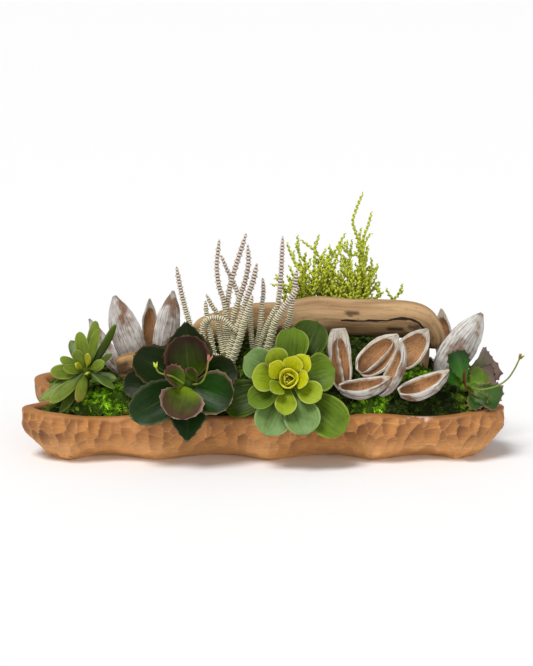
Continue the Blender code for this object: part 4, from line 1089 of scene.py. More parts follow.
@dataclass
class Rosette:
    """A rosette on its stem: where it sits, the way it faces and how its leaves are shaped.

    turn and tilt are degrees to the right of the front and above level. cup is how far a leaf's
    edges rise, blunt and tip_power where it is broadest and how it narrows, waist the share of
    its width kept at the root, apex the length of its pointed end, and ripple its edges' wave.
    """

    name: str
    node: str
    slot: str
    middle: Place
    turn: float
    tilt: float
    foot: Place
    core_radius: float
    stem_radius: float
    leaves: Sequence[Leaf]
    coats: Sequence[Coat]
    skin: LeafSkin
    thickness: float
    cup: float
    blunt: float
    waist: float
    edge_teeth: int = 0
    tooth_depth: float = 0.0
    rows: int = 26
    columns: int = 26
    ripple: float = 0.0
    sprigs: Sequence[Sprig] = ()
    root_share: float = 0.62
    tip_power: float = 0.50
    apex: float = 0.0
    bend_steps: int = 8
    knee_rise: float = 0.003

    def axes(self) -> Matrix:
        """The rosette's frame: x to its right, y up in its plane, z out along its axis."""
        turn, tilt = math.radians(self.turn), math.radians(self.tilt)
        axis = Vector((math.sin(turn) * math.cos(tilt), -math.cos(turn) * math.cos(tilt), math.sin(tilt)))
        right = Vector((0.0, 0.0, 1.0)).cross(axis).normalized()
        made = Matrix((right, axis.cross(right), axis)).transposed().to_4x4()
        made.translation = self.middle
        return made

    def placed(self, local: Grid) -> Grid:
        """Points of the rosette's frame, in the scene's."""
        matrix = np.array(self.axes())
        return local @ matrix[:3, :3].T + matrix[:3, 3]

    def leaf_place(self, leaf: Leaf, along: Grid, across: Grid, raised: Grid) -> Grid:
        """Points of a leaf.

        Args:
            leaf: the leaf.
            along: share of its length, from its root.
            across: distance from its middle line.
            raised: distance above its middle surface.

        Returns:
            The points in the scene's frame.
        """
        root = self.core_radius * self.root_share
        rise, tip_rise = math.radians(leaf.rise), math.radians(leaf.tip_rise)
        steps = self.bend_steps
        middles = (np.arange(steps) + 0.5) / steps
        slopes = rise + (tip_rise - rise) * along[..., None] * middles
        reach = (leaf.length - root) * along / steps
        out = root + np.cos(slopes).sum(-1) * reach
        up = np.sin(slopes).sum(-1) * reach
        slope = rise + (tip_rise - rise) * along
        twist = math.radians(leaf.twist) * np.minimum(1.0, along * 2.0)
        side = across * np.cos(twist) - raised * np.sin(twist)
        lift = across * np.sin(twist) + raised * np.cos(twist)
        out = out - lift * np.sin(slope)
        up = up + lift * np.cos(slope)
        around = math.radians(leaf.around)
        x = out * math.cos(around) - side * math.sin(around)
        y = out * math.sin(around) + side * math.cos(around)
        return self.placed(np.stack([x, y, up - leaf.set_back], axis=-1))

    def half_width(self, leaf: Leaf, along: np.ndarray) -> np.ndarray:
        """Half the leaf's width at shares of its length."""
        peak = self.blunt / (self.blunt + self.tip_power)
        most = peak**self.blunt * (1 - peak) ** self.tip_power
        body = along**self.blunt * (1.0 - along) ** self.tip_power / most
        body = np.maximum(body, self.waist * (1.0 - along))
        return leaf.width / 2 * body * (1.0 - leaf.point * np.maximum(0.0, along - 0.5))

    def teeth(self, leaf: Leaf, along: np.ndarray, half: np.ndarray) -> tuple[np.ndarray, np.ndarray]:
        """How far the cut edge stands out, along and across the leaf, at each row."""
        if not self.edge_teeth:
            return np.zeros(len(along)), np.zeros(len(along))
        u, v = along * leaf.length, half
        travelled = totals(np.hypot(np.diff(u), np.diff(v)))
        phase = travelled / travelled[-1] * self.edge_teeth
        saw = np.abs(2.0 * (phase % 1.0) - 1.0) ** 2.2
        size = self.tooth_depth * saw * ease(0.18, 0.40, along)
        du, dv = np.gradient(u), np.gradient(v)
        run = np.maximum(np.hypot(du, dv), 1e-9)
        return -dv / run * size / leaf.length, du / run * size

    def add_leaf(self, draft: Draft, leaf: Leaf, seed: int) -> None:
        """Adds one leaf: rings round its section, from root to tip."""
        step = np.linspace(0.0, 1.0, self.rows)
        along = np.minimum(np.sin(step * math.pi / 2) ** 1.15, 0.9995)
        half = self.half_width(leaf, along)
        push_along, push_across = (push[:, None] for push in self.teeth(leaf, along, half))
        turn = turns(self.columns)
        across = np.sign(np.cos(turn)) * np.abs(np.cos(turn)) ** 0.8
        face = np.sin(turn)
        edge = np.abs(across) ** 6
        length_share = along[:, None]
        last = ease(0.90, 1.0, length_share)
        wide = (half[:, None] + push_across * edge) * across
        point = self.apex / leaf.length * (1.0 - np.abs(across)) ** 2 * last**2
        far = np.clip(length_share + push_along * edge + point, 0.0, 1.06)
        thick = self.thickness / 2 * (1.0 - 0.45 * length_share)
        thin = 1.0 - 0.55 * np.abs(across) ** 4
        wave = self.ripple * leaf.width * np.sin(length_share * 9.0 + seed * 2.1 + across * 0.8)
        cup = self.cup * wide**2 / leaf.width
        raised = thick * face * thin + cup + wave * np.abs(across) ** 2
        points = self.leaf_place(leaf, far, wide, raised)
        spread, faced, shares = np.broadcast_arrays(across, face, length_share)
        rim = ease(0.86, 0.99, np.maximum(np.abs(spread), last))
        paint = self.coats[leaf.coat].paint(shares, spread, faced, rim * 0.75)
        draft.grid(points, paint, closed=True, along=along, across=spread)

    def add_core(self, draft: Draft) -> None:
        """Adds the heart that the leaves grow from, and the stem."""
        front = self.core_radius * 0.6
        furthest = max(leaf.set_back for leaf in self.leaves)
        back = -furthest - 0.35 * (front + furthest)
        rows = np.linspace(0.0, math.pi, 10)
        line = np.zeros((len(rows), 3))
        line[:, 2] = (front + back) / 2 + np.cos(rows) * (front - back) / 2
        radii = np.maximum(np.sin(rows), 0.02) * self.core_radius * 0.98
        draft.grid(sweep(self.placed(line), radii, 14), self.coats[0].root, closed=True)
        bend_place = np.array(self.foot)
        start, behind = self.placed(np.array([[0, 0, back * 0.6], [0, 0, back - 0.004]]))
        knee = bend_place + (behind - bend_place) * 0.3 + np.array([0.0, 0.0, self.knee_rise])
        end = np.array([bend_place[0], bend_place[1], STEM_FOOT])
        route = spline([start, behind, knee, bend_place, end], 5)
        radii = np.full(len(route), self.stem_radius * 0.9)
        draft.grid(sweep(route, radii, 10), self.coats[0].under, closed=True)

    def build(self) -> Piece:
        """Builds and dresses the rosette."""
        draft = Draft("along", "across")
        for seed, leaf in enumerate(self.leaves):
            self.add_leaf(draft, leaf, seed)
        self.add_core(draft)
        for sprig in self.sprigs:
            sprig.add(draft)
        return install(draft.build(self.name), self.skin.build(), self.slot, self.node)


@dataclass(frozen=True)
class Sprig:
    """A thin flower stalk with small pointed buds at its end."""

    route: tuple
    bud: float
    stalk_color: Color
    bud_color: Color
    buds: int = 5
    radius: float = 0.0014
    # Radius of a bud at its ends, and how much it swells in between
    bud_radii: Pair = (0.0003, 0.0012)
    bud_sunk: float = 0.001

    def add(self, draft: Draft) -> None:
        """Adds the stalk and its buds."""
        route = evenly(spline(self.route, 6), 0.003)
        radii = np.linspace(self.radius, self.radius * 0.8, len(route))
        draft.grid(sweep(route, radii, 8), self.stalk_color, closed=True, along=0.5)
        ahead = unit(route[-1] - route[-2])
        side = unit(np.cross(ahead, (0.0, 1.0, 0.0)))
        other = np.cross(ahead, side)
        share = np.linspace(0.0, 1.0, 8)
        thin, swell = self.bud_radii
        radii = thin + swell * np.sin(share * math.pi) ** 1.2 * (1.15 - share * 0.5)
        for i, turn in enumerate(turns(self.buds)):
            lean = 0.7 if i else 0.0
            way = unit(ahead + (side * math.cos(turn) + other * math.sin(turn) * 0.6) * lean)
            line = route[-1] + way * (share[:, None] * self.bud - self.bud_sunk)
            draft.grid(sweep(line, radii, 8), self.bud_color, closed=True, along=0.9)


def echeveria() -> Rosette:
    """The big lime-green rosette at the front."""
    heart = coat((126, 124, 2), (202, 194, 6), (220, 212, 30), (228, 222, 96), (156, 156, 10))
    lime = coat((104, 112, 2), (178, 180, 8), (194, 196, 30), (216, 216, 100), (132, 142, 16))
    fresh = coat((74, 94, 3), (122, 140, 14), (146, 162, 40), (188, 198, 100), (88, 110, 20))
    green = coat((40, 62, 2), (72, 96, 8), (94, 120, 26), (140, 160, 62), (50, 74, 14))
    deep = coat((26, 40, 2), (42, 60, 4), (54, 74, 8), (88, 108, 28), (34, 50, 8))
    blue = coat((60, 88, 22), (92, 120, 54), (114, 142, 82), (146, 172, 110), (70, 100, 52))
    leaves = (
        # outermost, dark and broad
        Leaf(65, 0.093, 0.052, -4, 8, 0.014, coat=4),
        Leaf(-43, 0.102, 0.056, 0, 6, 0.012, coat=3),
        Leaf(-112, 0.080, 0.050, 0, 10, 0.010, coat=5),
        Leaf(198, 0.094, 0.052, -10, 0, 0.022, coat=4),
        Leaf(118, 0.092, 0.054, 4, -95, 0.014, coat=5),
        # second round
        Leaf(84, 0.073, 0.046, 6, 18, 0.007, coat=3),
        Leaf(13, 0.065, 0.054, 4, 16, 0.008, coat=3),
        Leaf(-71, 0.080, 0.050, 6, 16, 0.006, coat=5),
        Leaf(152, 0.068, 0.046, 4, 18, 0.008, coat=5),
        Leaf(212, 0.064, 0.036, 8, 20, 0.006, coat=3),
        # third round
        Leaf(177, 0.052, 0.040, 16, 28, 0.004, coat=2),
        Leaf(121, 0.051, 0.033, 22, 38, 0.002, coat=2),
        Leaf(-96, 0.056, 0.030, 20, 32, 0.002, coat=2),
        Leaf(-33, 0.055, 0.034, 18, 30, 0.003, coat=2),
        # fourth round
        Leaf(145, 0.040, 0.027, 36, 54, coat=1),
        Leaf(221, 0.042, 0.026, 36, 60, coat=2),
        Leaf(-8, 0.038, 0.027, 42, 60, coat=1),
        Leaf(72, 0.040, 0.028, 38, 56, coat=1),
        Leaf(46, 0.048, 0.028, 32, 48, coat=1),
        # the cup in the middle
        Leaf(100, 0.024, 0.023, 48, 84, coat=0),
        Leaf(172, 0.023, 0.021, 50, 88, coat=0),
        Leaf(244, 0.024, 0.023, 46, 84, coat=0),
        Leaf(316, 0.023, 0.021, 50, 88, coat=0),
        Leaf(28, 0.024, 0.022, 48, 86, coat=0),
        # the bud in the cup
        Leaf(64, 0.020, 0.017, 66, 116, coat=0),
        Leaf(184, 0.019, 0.016, 68, 120, coat=0),
        Leaf(304, 0.020, 0.017, 66, 118, coat=0),
        Leaf(124, 0.016, 0.012, 74, 128, coat=0),
        Leaf(244, 0.016, 0.012, 74, 128, coat=0),
    )
    return Rosette(
        name="echeveria_leaves",
        node="echeveria_rosette",
        slot="lime_succulent",
        middle=(0.034, -0.152, 0.123),
        turn=0.0,
        tilt=24.0,
        foot=(0.030, -0.098, 0.108),
        core_radius=0.010,
        stem_radius=0.0042,
        leaves=leaves,
        coats=(heart, lime, fresh, green, deep, blue),
        skin=LeafSkin("echeveria_skin", 0.42, 9.0, 0.0009, 0.24, 0.38, 0.28, specular=0.15),
        thickness=0.0036,
        cup=0.8,
        blunt=1.15,
        waist=0.30,
        tip_power=0.46,
        ripple=0.028,
        apex=0.0032,
    )


def paddle_plant() -> Rosette:
    """The left plant, a spray of thick paddle-shaped leaves."""
    # Each coat's root colour is darker than its middle: a painted shade where the leaves crowd at the
    # heart.
    olive = coat((60, 80, 6), (92, 110, 20), (112, 130, 38), (150, 162, 78), (54, 72, 16))
    deep = coat((42, 60, 6), (62, 84, 14), (82, 104, 28), (118, 136, 56), (40, 56, 14))
    blush = coat((70, 88, 10), (100, 116, 30), (116, 112, 42), (136, 98, 54), (74, 76, 24))
    young = coat((112, 116, 6), (150, 152, 20), (164, 164, 40), (184, 182, 84), (104, 112, 20))
    leaves = (
        Leaf(104, 0.056, 0.019, 10, 24, 0.002),
        Leaf(86, 0.076, 0.018, 2, 14, 0.010),
        Leaf(76, 0.060, 0.014, 14, 24, 0.002),
        Leaf(62, 0.079, 0.013, 4, 24, 0.010, 50, coat=1),
        Leaf(124, 0.034, 0.016, 34, 50),
        Leaf(158, 0.042, 0.015, 14, 26, 0.006),
        Leaf(189, 0.050, 0.023, 10, 24, 0.004),
        Leaf(190, 0.034, 0.015, 32, 44),
        Leaf(209, 0.058, 0.016, 0, 10, 0.010, coat=1),
        Leaf(219, 0.076, 0.017, 2, 12, 0.006),
        Leaf(233, 0.070, 0.020, 8, 18, 0.002),
        Leaf(244, 0.070, 0.014, 0, 6, 0.010, coat=1),
        Leaf(268, 0.056, 0.016, 14, 24, 0.0, -30, coat=2),
        Leaf(14, 0.034, 0.015, 26, 40, 0.0, 20),
        Leaf(-30, 0.050, 0.013, 4, -4, 0.002, -30, coat=1),
        Leaf(36, 0.044, 0.010, 10, 20, 0.008, coat=1),
        Leaf(122, 0.062, 0.018, -10, 0, 0.016, coat=1),
        Leaf(352, 0.042, 0.014, -6, 4, 0.014, coat=1),
        Leaf(75, 0.028, 0.010, 44, 66, coat=3),
        Leaf(164, 0.022, 0.010, 54, 76, coat=3),
        Leaf(300, 0.020, 0.009, 54, 76, coat=3),
    )
    return Rosette(
        name="paddle_leaves",
        node="paddle_leaf_succulent",
        slot="olive_succulent",
        middle=(-0.246, -0.100, 0.126),
        turn=-8.0,
        tilt=34.0,
        foot=(-0.246, -0.082, 0.104),
        core_radius=0.008,
        stem_radius=0.0035,
        leaves=leaves,
        coats=(olive, deep, blush, young),
        skin=LeafSkin("paddle_leaf_skin", 0.32, 4.0, 0.0004, 0.16, 0.34, 0.30, specular=0.2),
        thickness=0.0062,
        cup=0.25,
        blunt=0.75,
        waist=0.34,
        columns=20,
        rows=24,
    )


def dark_plant() -> Rosette:
    """The dark rosette with round, finely toothed leaves and two flower stalks."""
    night = coat((20, 44, 4), (20, 38, 6), (24, 34, 10), (86, 76, 52), (22, 32, 12))
    plum = coat((50, 80, 8), (42, 52, 10), (42, 28, 18), (108, 70, 58), (40, 26, 18), edge=0.75)
    olive = coat((98, 120, 12), (66, 74, 28), (76, 54, 42), (176, 144, 128), (70, 66, 36), edge=0.7)
    lime = coat((80, 104, 16), (56, 76, 18), (90, 60, 48), (160, 112, 98), (56, 74, 28), edge=0.6)
    leafy = coat((26, 52, 6), (26, 58, 10), (24, 42, 10), (146, 120, 92), (24, 40, 12))
    blue = coat((20, 42, 6), (24, 46, 14), (32, 54, 22), (98, 100, 70), (22, 36, 16))
    leaves = (
        Leaf(94, 0.088, 0.070, -6, 4, 0.020, 0.0, 1.3),
        Leaf(94, 0.067, 0.062, 16, 20, 0.006, coat=1),
        Leaf(252, 0.060, 0.060, 22, 34, 0.0, coat=2),
        Leaf(160, 0.044, 0.031, 30, 52, 0.0, 20, coat=3),
        Leaf(60, 0.030, 0.022, 44, 74, 0.0, -20, coat=3),
        Leaf(151, 0.086, 0.056, -4, 8, 0.014),
        Leaf(211, 0.092, 0.056, 4, 12, 0.008, coat=4),
        Leaf(268, 0.078, 0.056, 2, 8, 0.012, 0.0, 1.3, coat=4),
        Leaf(-24, 0.066, 0.062, 12, 20, 0.004, coat=5),
        Leaf(20, 0.068, 0.050, 0, 10, 0.012),
        Leaf(177, 0.094, 0.050, -14, -6, 0.022),
    )
    left_route = (
        (-0.108, -0.150, 0.118), (-0.122, -0.160, 0.130), (-0.132, -0.166, 0.134),
        (-0.141, -0.171, 0.139), (-0.144, -0.174, 0.146),
    )
    right_route = (
        (-0.098, -0.147, 0.116), (-0.084, -0.158, 0.122), (-0.077, -0.162, 0.136),
        (-0.074, -0.164, 0.152),
    )
    return Rosette(
        name="dark_leaves",
        node="dark_leaf_succulent",
        slot="dark_succulent",
        middle=(-0.101, -0.148, 0.118),
        turn=0.0,
        tilt=20.0,
        foot=(-0.104, -0.095, 0.106),
        core_radius=0.009,
        stem_radius=0.0042,
        leaves=leaves,
        coats=(night, plum, olive, lime, blue, leafy),
        skin=LeafSkin("dark_leaf_skin", 0.32, 7.0, 0.0006, 0.06, 0.34, 0.30, 0.22, tone(96, 112, 46), 0.08),
        thickness=0.0016,
        cup=0.8,
        blunt=0.62,
        waist=0.22,
        edge_teeth=7,
        tooth_depth=0.0019,
        rows=72,
        columns=28,
        ripple=0.015,
        sprigs=(
            Sprig(left_route, 0.009, tone(150, 164, 60), tone(206, 212, 80)),
            Sprig(right_route, 0.011, tone(140, 140, 60), tone(190, 132, 112)),
        ),
    )


def small_plant() -> Rosette:
    """The small plant at the right end, with its long flower stalk."""
    green = coat((72, 116, 14), (40, 92, 14), (26, 56, 12), (70, 62, 28), (34, 66, 16))
    plum = coat((104, 138, 24), (120, 122, 84), (112, 92, 84), (70, 40, 28), (112, 108, 96), edge=0.4)
    olive = coat((96, 136, 16), (86, 122, 24), (88, 108, 34), (128, 104, 58), (66, 90, 24))
    sage = coat((96, 132, 40), (58, 94, 30), (50, 76, 30), (150, 112, 96), (50, 72, 30))
    brown = coat((80, 104, 16), (64, 62, 14), (86, 48, 22), (104, 54, 32), (80, 48, 24))
    leaves = (
        Leaf(104, 0.052, 0.030, 2, 14, 0.006, -20),
        Leaf(42, 0.063, 0.052, -4, 4, 0.010, 24, coat=1),
        Leaf(12, 0.048, 0.042, -6, 4, 0.008, 10, coat=1),
        Leaf(44, 0.030, 0.028, 26, 40, 0.0, coat=2),
        Leaf(-37, 0.048, 0.040, 10, 20, 0.0, coat=3),
        Leaf(-74, 0.036, 0.030, 16, 28, 0.002, 20, coat=3),
        Leaf(204, 0.026, 0.044, 46, 74, 0.0, coat=4),
        Leaf(128, 0.034, 0.026, -12, -6, 0.018),
    )
    route = (
        (0.284, -0.112, 0.106), (0.291, -0.128, 0.105), (0.306, -0.132, 0.107),
        (0.322, -0.132, 0.112), (0.335, -0.130, 0.121), (0.344, -0.128, 0.134),
        (0.350, -0.127, 0.147),
    )
    return Rosette(
        name="small_plant_leaves",
        node="small_notched_succulent",
        slot="dark_succulent",
        middle=(0.284, -0.110, 0.106),
        turn=22.0,
        tilt=22.0,
        foot=(0.272, -0.085, 0.100),
        core_radius=0.006,
        stem_radius=0.0035,
        leaves=leaves,
        coats=(green, plum, olive, sage, brown),
        skin=LeafSkin("small_leaf_skin", 0.36, 6.0, 0.0005, 0.14, 0.34, 0.22, 0.3, tone(120, 150, 60)),
        thickness=0.0016,
        cup=0.9,
        blunt=1.1,
        waist=0.22,
        edge_teeth=7,
        tooth_depth=0.0030,
        rows=66,
        columns=26,
        ripple=0.045,
        tip_power=0.34,
        sprigs=(Sprig(route, 0.010, tone(108, 116, 22), tone(132, 112, 24)),),
    )


# Ringed stems
@dataclass
class RingedBunch:
    """A bunch of stems of stacked rings that grow from one root."""

    node: str
    root: Place
    stems: Sequence[tuple[float, tuple]]
    fullness: float = 1.16
    low_pitch: float = 0.0030
    high_pitch: float = 0.0047
    waist: float = 0.46
    spacing: float = 0.00062
    # Heights between which the rings open up, and between which their colour changes
    opening: Pair = (0.17, 0.27)
    fading: Pair = (0.17, 0.25)
    sides: int = 12
    peg_radius: float = 0.0055
    branching_height: float = 0.20
    cream: Color = tone(226, 218, 186)
    bead: Color = tone(208, 196, 182)
    low_gap: Color = tone(88, 92, 22)
    high_gap: Color = tone(100, 68, 60)
    skin: StemSkin = StemSkin(
        "ringed_stem_skin", 0.7, 0.25, tone(120, 96, 78), 520.0, 0.55, 0.35, 0.0003
    )

    def add_stem(self, draft: Draft, radius: float, points: tuple) -> None:
        """Adds one stem, its rings widest at their middle and lobed in crossed pairs."""
        rooted = points if points[0][2] > self.branching_height else (self.root, *points)
        route = evenly(spline(rooted, 8), self.spacing)
        travelled = lengths_along(route)
        share = travelled / travelled[-1]
        height = ease(*self.opening, route[:, 2])
        pitch = self.low_pitch + (self.high_pitch - self.low_pitch) * height
        phase = totals(np.diff(travelled) / pitch[1:])
        crest = np.sin((phase % 1.0) * math.pi) ** 0.8
        taper = (1.0 - 0.34 * share) * (1.0 - ease(0.90, 1.0, share) * 0.5)
        taper *= 1.0 - ease(0.985, 1.0, share) * 0.5
        quarter = np.floor(phase)[:, None] * (math.pi / 2)
        lobes = 1.0 + 0.15 * crest[:, None] * np.cos(2 * (turns(self.sides) + quarter))
        swell = self.waist + (1.0 - self.waist) * crest
        radii = (self.fullness * radius * taper * swell)[:, None] * lobes
        high = ease(*self.fading, route[:, 2])
        gap = mixed(self.low_gap, self.high_gap, high)
        bead = mixed(self.cream, self.bead, high)
        paint = mixed(gap, bead, ease(0.42, 0.80, crest))
        draft.grid(sweep(route, radii, self.sides), paint[:, None], closed=True)

    def build(self) -> Piece:
        """Builds and dresses the bunch."""
        draft = Draft()
        draft.peg(self.root, self.peg_radius, self.sides, self.low_gap)
        for radius, points in self.stems:
            self.add_stem(draft, radius, points)
        piece = draft.build(self.node + "_rings")
        return install(piece, self.skin.build(), "ringed_stem", self.node)


def ringed_bunches() -> Iterable[RingedBunch]:
    """The three bunches of ringed stems: each stem's radius and the points that it runs through."""
    left = (
        (0.0046, (
            (-0.049, -0.050, 0.150), (-0.052, -0.052, 0.191), (-0.056, -0.054, 0.217),
            (-0.062, -0.056, 0.236), (-0.065, -0.058, 0.263), (-0.063, -0.060, 0.288),
            (-0.061, -0.062, 0.304),
        )),
        (0.0050, (
            (-0.054, -0.050, 0.139), (-0.053, -0.048, 0.180), (-0.051, -0.047, 0.207),
            (-0.047, -0.045, 0.234), (-0.041, -0.043, 0.256), (-0.032, -0.042, 0.284),
            (-0.024, -0.040, 0.309),
        )),
        (0.0036, (
            (-0.034, -0.048, 0.216), (-0.040, -0.043, 0.235), (-0.051, -0.039, 0.257),
            (-0.060, -0.034, 0.278),
        )),
        (0.0050, (
            (-0.050, -0.048, 0.144), (-0.046, -0.048, 0.180), (-0.039, -0.049, 0.203),
            (-0.032, -0.049, 0.224), (-0.025, -0.049, 0.246), (-0.021, -0.050, 0.269),
            (-0.022, -0.050, 0.295),
        )),
        (0.0056, (
            (-0.049, -0.056, 0.137), (-0.040, -0.059, 0.168), (-0.030, -0.062, 0.195),
            (-0.024, -0.064, 0.219), (-0.015, -0.067, 0.244), (-0.009, -0.070, 0.271),
        )),
        (0.0056, (
            (-0.045, -0.060, 0.131), (-0.034, -0.067, 0.162), (-0.026, -0.073, 0.191),
            (-0.015, -0.080, 0.227),
        )),
        (0.0042, (
            (-0.063, -0.050, 0.173), (-0.065, -0.053, 0.197), (-0.072, -0.057, 0.209),
            (-0.080, -0.060, 0.226),
        )),
        (0.0046, (
            (-0.068, -0.055, 0.134), (-0.075, -0.059, 0.172), (-0.079, -0.062, 0.194),
            (-0.081, -0.066, 0.218),
        )),
        (0.0046, (
            (-0.078, -0.058, 0.143), (-0.085, -0.061, 0.168), (-0.083, -0.063, 0.185),
            (-0.073, -0.066, 0.193), (-0.058, -0.069, 0.193), (-0.048, -0.071, 0.186),
            (-0.038, -0.074, 0.176),
        )),
    )
    right = (
        (0.0046, (
            (0.001, -0.045, 0.143), (0.011, -0.044, 0.179), (0.019, -0.043, 0.203),
            (0.023, -0.042, 0.229), (0.025, -0.041, 0.257), (0.027, -0.040, 0.305),
        )),
        (0.0044, (
            (-0.009, -0.048, 0.144), (-0.005, -0.049, 0.173), (-0.002, -0.050, 0.208),
            (0.000, -0.051, 0.228), (-0.001, -0.052, 0.248),
        )),
        (0.0058, (
            (0.006, -0.052, 0.148), (0.016, -0.059, 0.184), (0.030, -0.065, 0.210),
            (0.049, -0.072, 0.238),
        )),
        (0.0048, (
            (0.018, -0.045, 0.151), (0.029, -0.046, 0.170), (0.037, -0.046, 0.190),
            (0.041, -0.047, 0.216), (0.045, -0.047, 0.240), (0.047, -0.048, 0.260),
        )),
        (0.0042, ((-0.006, -0.050, 0.145), (0.003, -0.055, 0.177), (0.018, -0.060, 0.209))),
        (0.0042, ((-0.012, -0.045, 0.138), (-0.017, -0.045, 0.165), (-0.018, -0.045, 0.207))),
    )
    single = (
        (0.0048, (
            (-0.094, -0.045, 0.143), (-0.104, -0.044, 0.181), (-0.111, -0.043, 0.206),
            (-0.118, -0.041, 0.237), (-0.122, -0.040, 0.262),
        )),
    )
    yield RingedBunch("ringed_stems_left", (-0.055, -0.055, 0.132), left)
    yield RingedBunch("ringed_stems_right", (0.002, -0.050, 0.137), right)
    yield RingedBunch("ringed_stem_single", (-0.092, -0.045, 0.124), single)


# Lime twigs
@dataclass
class TwigBunch:
    """A bushy bunch of scaly twigs from one root, within the reach of its main tips."""

    node: str
    place: Pair
    # Each main twig's marks above its root: x, z
    strands: Sequence[Sequence[Pair]]
    # The fillers' tips lie between these places along the bowl
    filled: Pair
    seed: int
    root_height: float = 0.124
    peg_radius: float = 0.0040
    peg_sides: int = 10
    twig_radius: float = 0.0027
    row_spacing: float = 0.0014
    sides: int = 6
    lean: float = 0.014
    # How far a twig's lower half strays from its straight line: x, y, z
    low_sway: Place = (0.014, 0.010, 0.004)
    fillers: int = 13
    filler_heights: Pair = (0.205, 0.258)
    filler_spread: float = 0.028
    # Side twigs grow this far apart, up to this height
    shoot_spacing: float = 0.0125
    shoot_length: Pair = (0.008, 0.025)
    shortest: float = 0.004
    # Twigs are painted in shade from the first height down to the second, where they crowd
    painted_shade_heights: Pair = (0.225, 0.160)
    bare_above: float = 0.275
    # A twig winds about its line: how far, and once in what length
    winding: float = 0.0012
    winding_length: float = 0.0070
    # young is the fresh tips' colour and also a painted light on the scales that stand out; shaded is a
    # painted shade on the sunk scales and low down.
    young: Color = tone(234, 240, 92)
    leafy: Color = tone(204, 218, 46)
    shaded: Color = tone(112, 132, 8)
    skin: StemSkin = StemSkin("lime_twig_skin", 0.6, 0.3, tone(92, 104, 16), 420.0, 0.5, 0.5, 0.0004)

    def add_twig(self, draft: Draft, route: Grid, radius: float, random: Random) -> None:
        """Adds one twig that winds a little, with scales that stand out of it in turn."""
        line = evenly(route, self.row_spacing)
        rows = len(line)
        share = np.linspace(0.0, 1.0, rows)
        wound = lengths_along(line) / self.winding_length * 2 * math.pi + random.uniform(0.0, 6.0)
        ahead, side, other = directions(line)
        sway = side * np.cos(wound)[:, None] + other * np.sin(wound)[:, None]
        line = line + sway * (self.winding * ease(0.0, 0.15, share))[:, None]
        scale = random.uniform(0.25, 1.0, (rows, self.sides))
        turn = (np.arange(rows)[:, None] + np.arange(self.sides)[None]) % 2
        radii = radius * (1.0 - 0.40 * share)[:, None] * (0.55 + (0.30 + 0.65 * scale) * turn)
        radii *= (1.0 - 0.6 * ease(0.96, 1.0, share))[:, None]
        # Fresh colour towards the tips and a painted light on the standing scales, then a painted shade on
        # the sunk ones.
        fresh = np.clip(0.15 + 0.6 * turn * scale + 0.4 * share[:, None], 0.0, 1.0)
        paint = mixed(self.leafy, self.young, fresh)
        paint = mixed(paint, self.shaded, (1.0 - turn) * 0.55)
        # A painted shade low down, where the twigs crowd.
        low = ease(*self.painted_shade_heights, line[:, 2])[:, None] * np.ones((1, self.sides))
        paint = mixed(paint, self.shaded, low * 0.7)
        draft.grid(sweep(line, radii, self.sides), paint, closed=True)

    def curl(self, start: np.ndarray, end: np.ndarray, sway: float, random: Random) -> Grid:
        """A lightly curled route from start to end."""
        run = end - start
        stray = sway * np.linalg.norm(run)
        middles = [start + run * share + random.normal(0.0, stray, 3) for share in (0.3, 0.6, 0.85)]
        return spline([start, *middles, end], 8)

    def sprout(self, draft: Draft, route: Grid, random: Random) -> None:
        """Adds short side twigs along a twig, which lean outwards."""
        travelled = lengths_along(route)
        at = travelled[-1] * 0.30
        while at < travelled[-1] * 0.88:
            start = np.array([np.interp(at, travelled, column) for column in route.T])
            if start[2] > self.bare_above:
                break
            left = (travelled[-1] - at) * 0.9 + self.shortest
            length = min(left, random.uniform(*self.shoot_length))
            turn = random.uniform(0.0, 2 * math.pi)
            way = unit(np.array([math.cos(turn), math.sin(turn) * 0.8, random.uniform(0.3, 1.1)]))
            end = start + way * length * 0.8 + np.array([0.0, 0.0, length * 0.25])
            shoot = spline([start, start + way * length * 0.45, end], 8)
            self.add_twig(draft, shoot, self.twig_radius * 0.8, random)
            at += self.shoot_spacing * random.uniform(0.6, 1.5)

    def routes(self, random: Random) -> Iterable[Grid]:
        """The routes of the main twigs, then of the fillers between them."""
        x, y = self.place
        root = np.array([x, y, self.root_height])
        for strand in self.strands:
            lean = random.uniform(-self.lean, self.lean)
            marks = np.array([(mark_x, y, mark_z) for mark_x, mark_z in strand])
            marks[:, 1] += lean * (marks[:, 2] - self.root_height) / 0.10
            low = root + (marks[0] - root) * 0.5 + random.uniform(-1.0, 1.0, 3) * self.low_sway
            yield spline([root, low, *marks], 8)
        for _ in range(self.fillers):
            end = np.array([
                random.uniform(*self.filled),
                y + random.uniform(-1.0, 1.0) * self.filler_spread,
                random.uniform(*self.filler_heights),
            ])
            yield self.curl(root, end, 0.05, random)

    def build(self) -> Piece:
        """Builds and dresses the bunch."""
        random = np.random.default_rng(self.seed)
        draft = Draft()
        root = (*self.place, self.root_height)
        draft.peg(root, self.peg_radius, self.peg_sides, self.shaded)
        for route in self.routes(random):
            self.add_twig(draft, route, self.twig_radius, random)
            self.sprout(draft, route, random)
        return install(draft.build(self.node + "_scales"), self.skin.build(), "lime_twig", self.node)


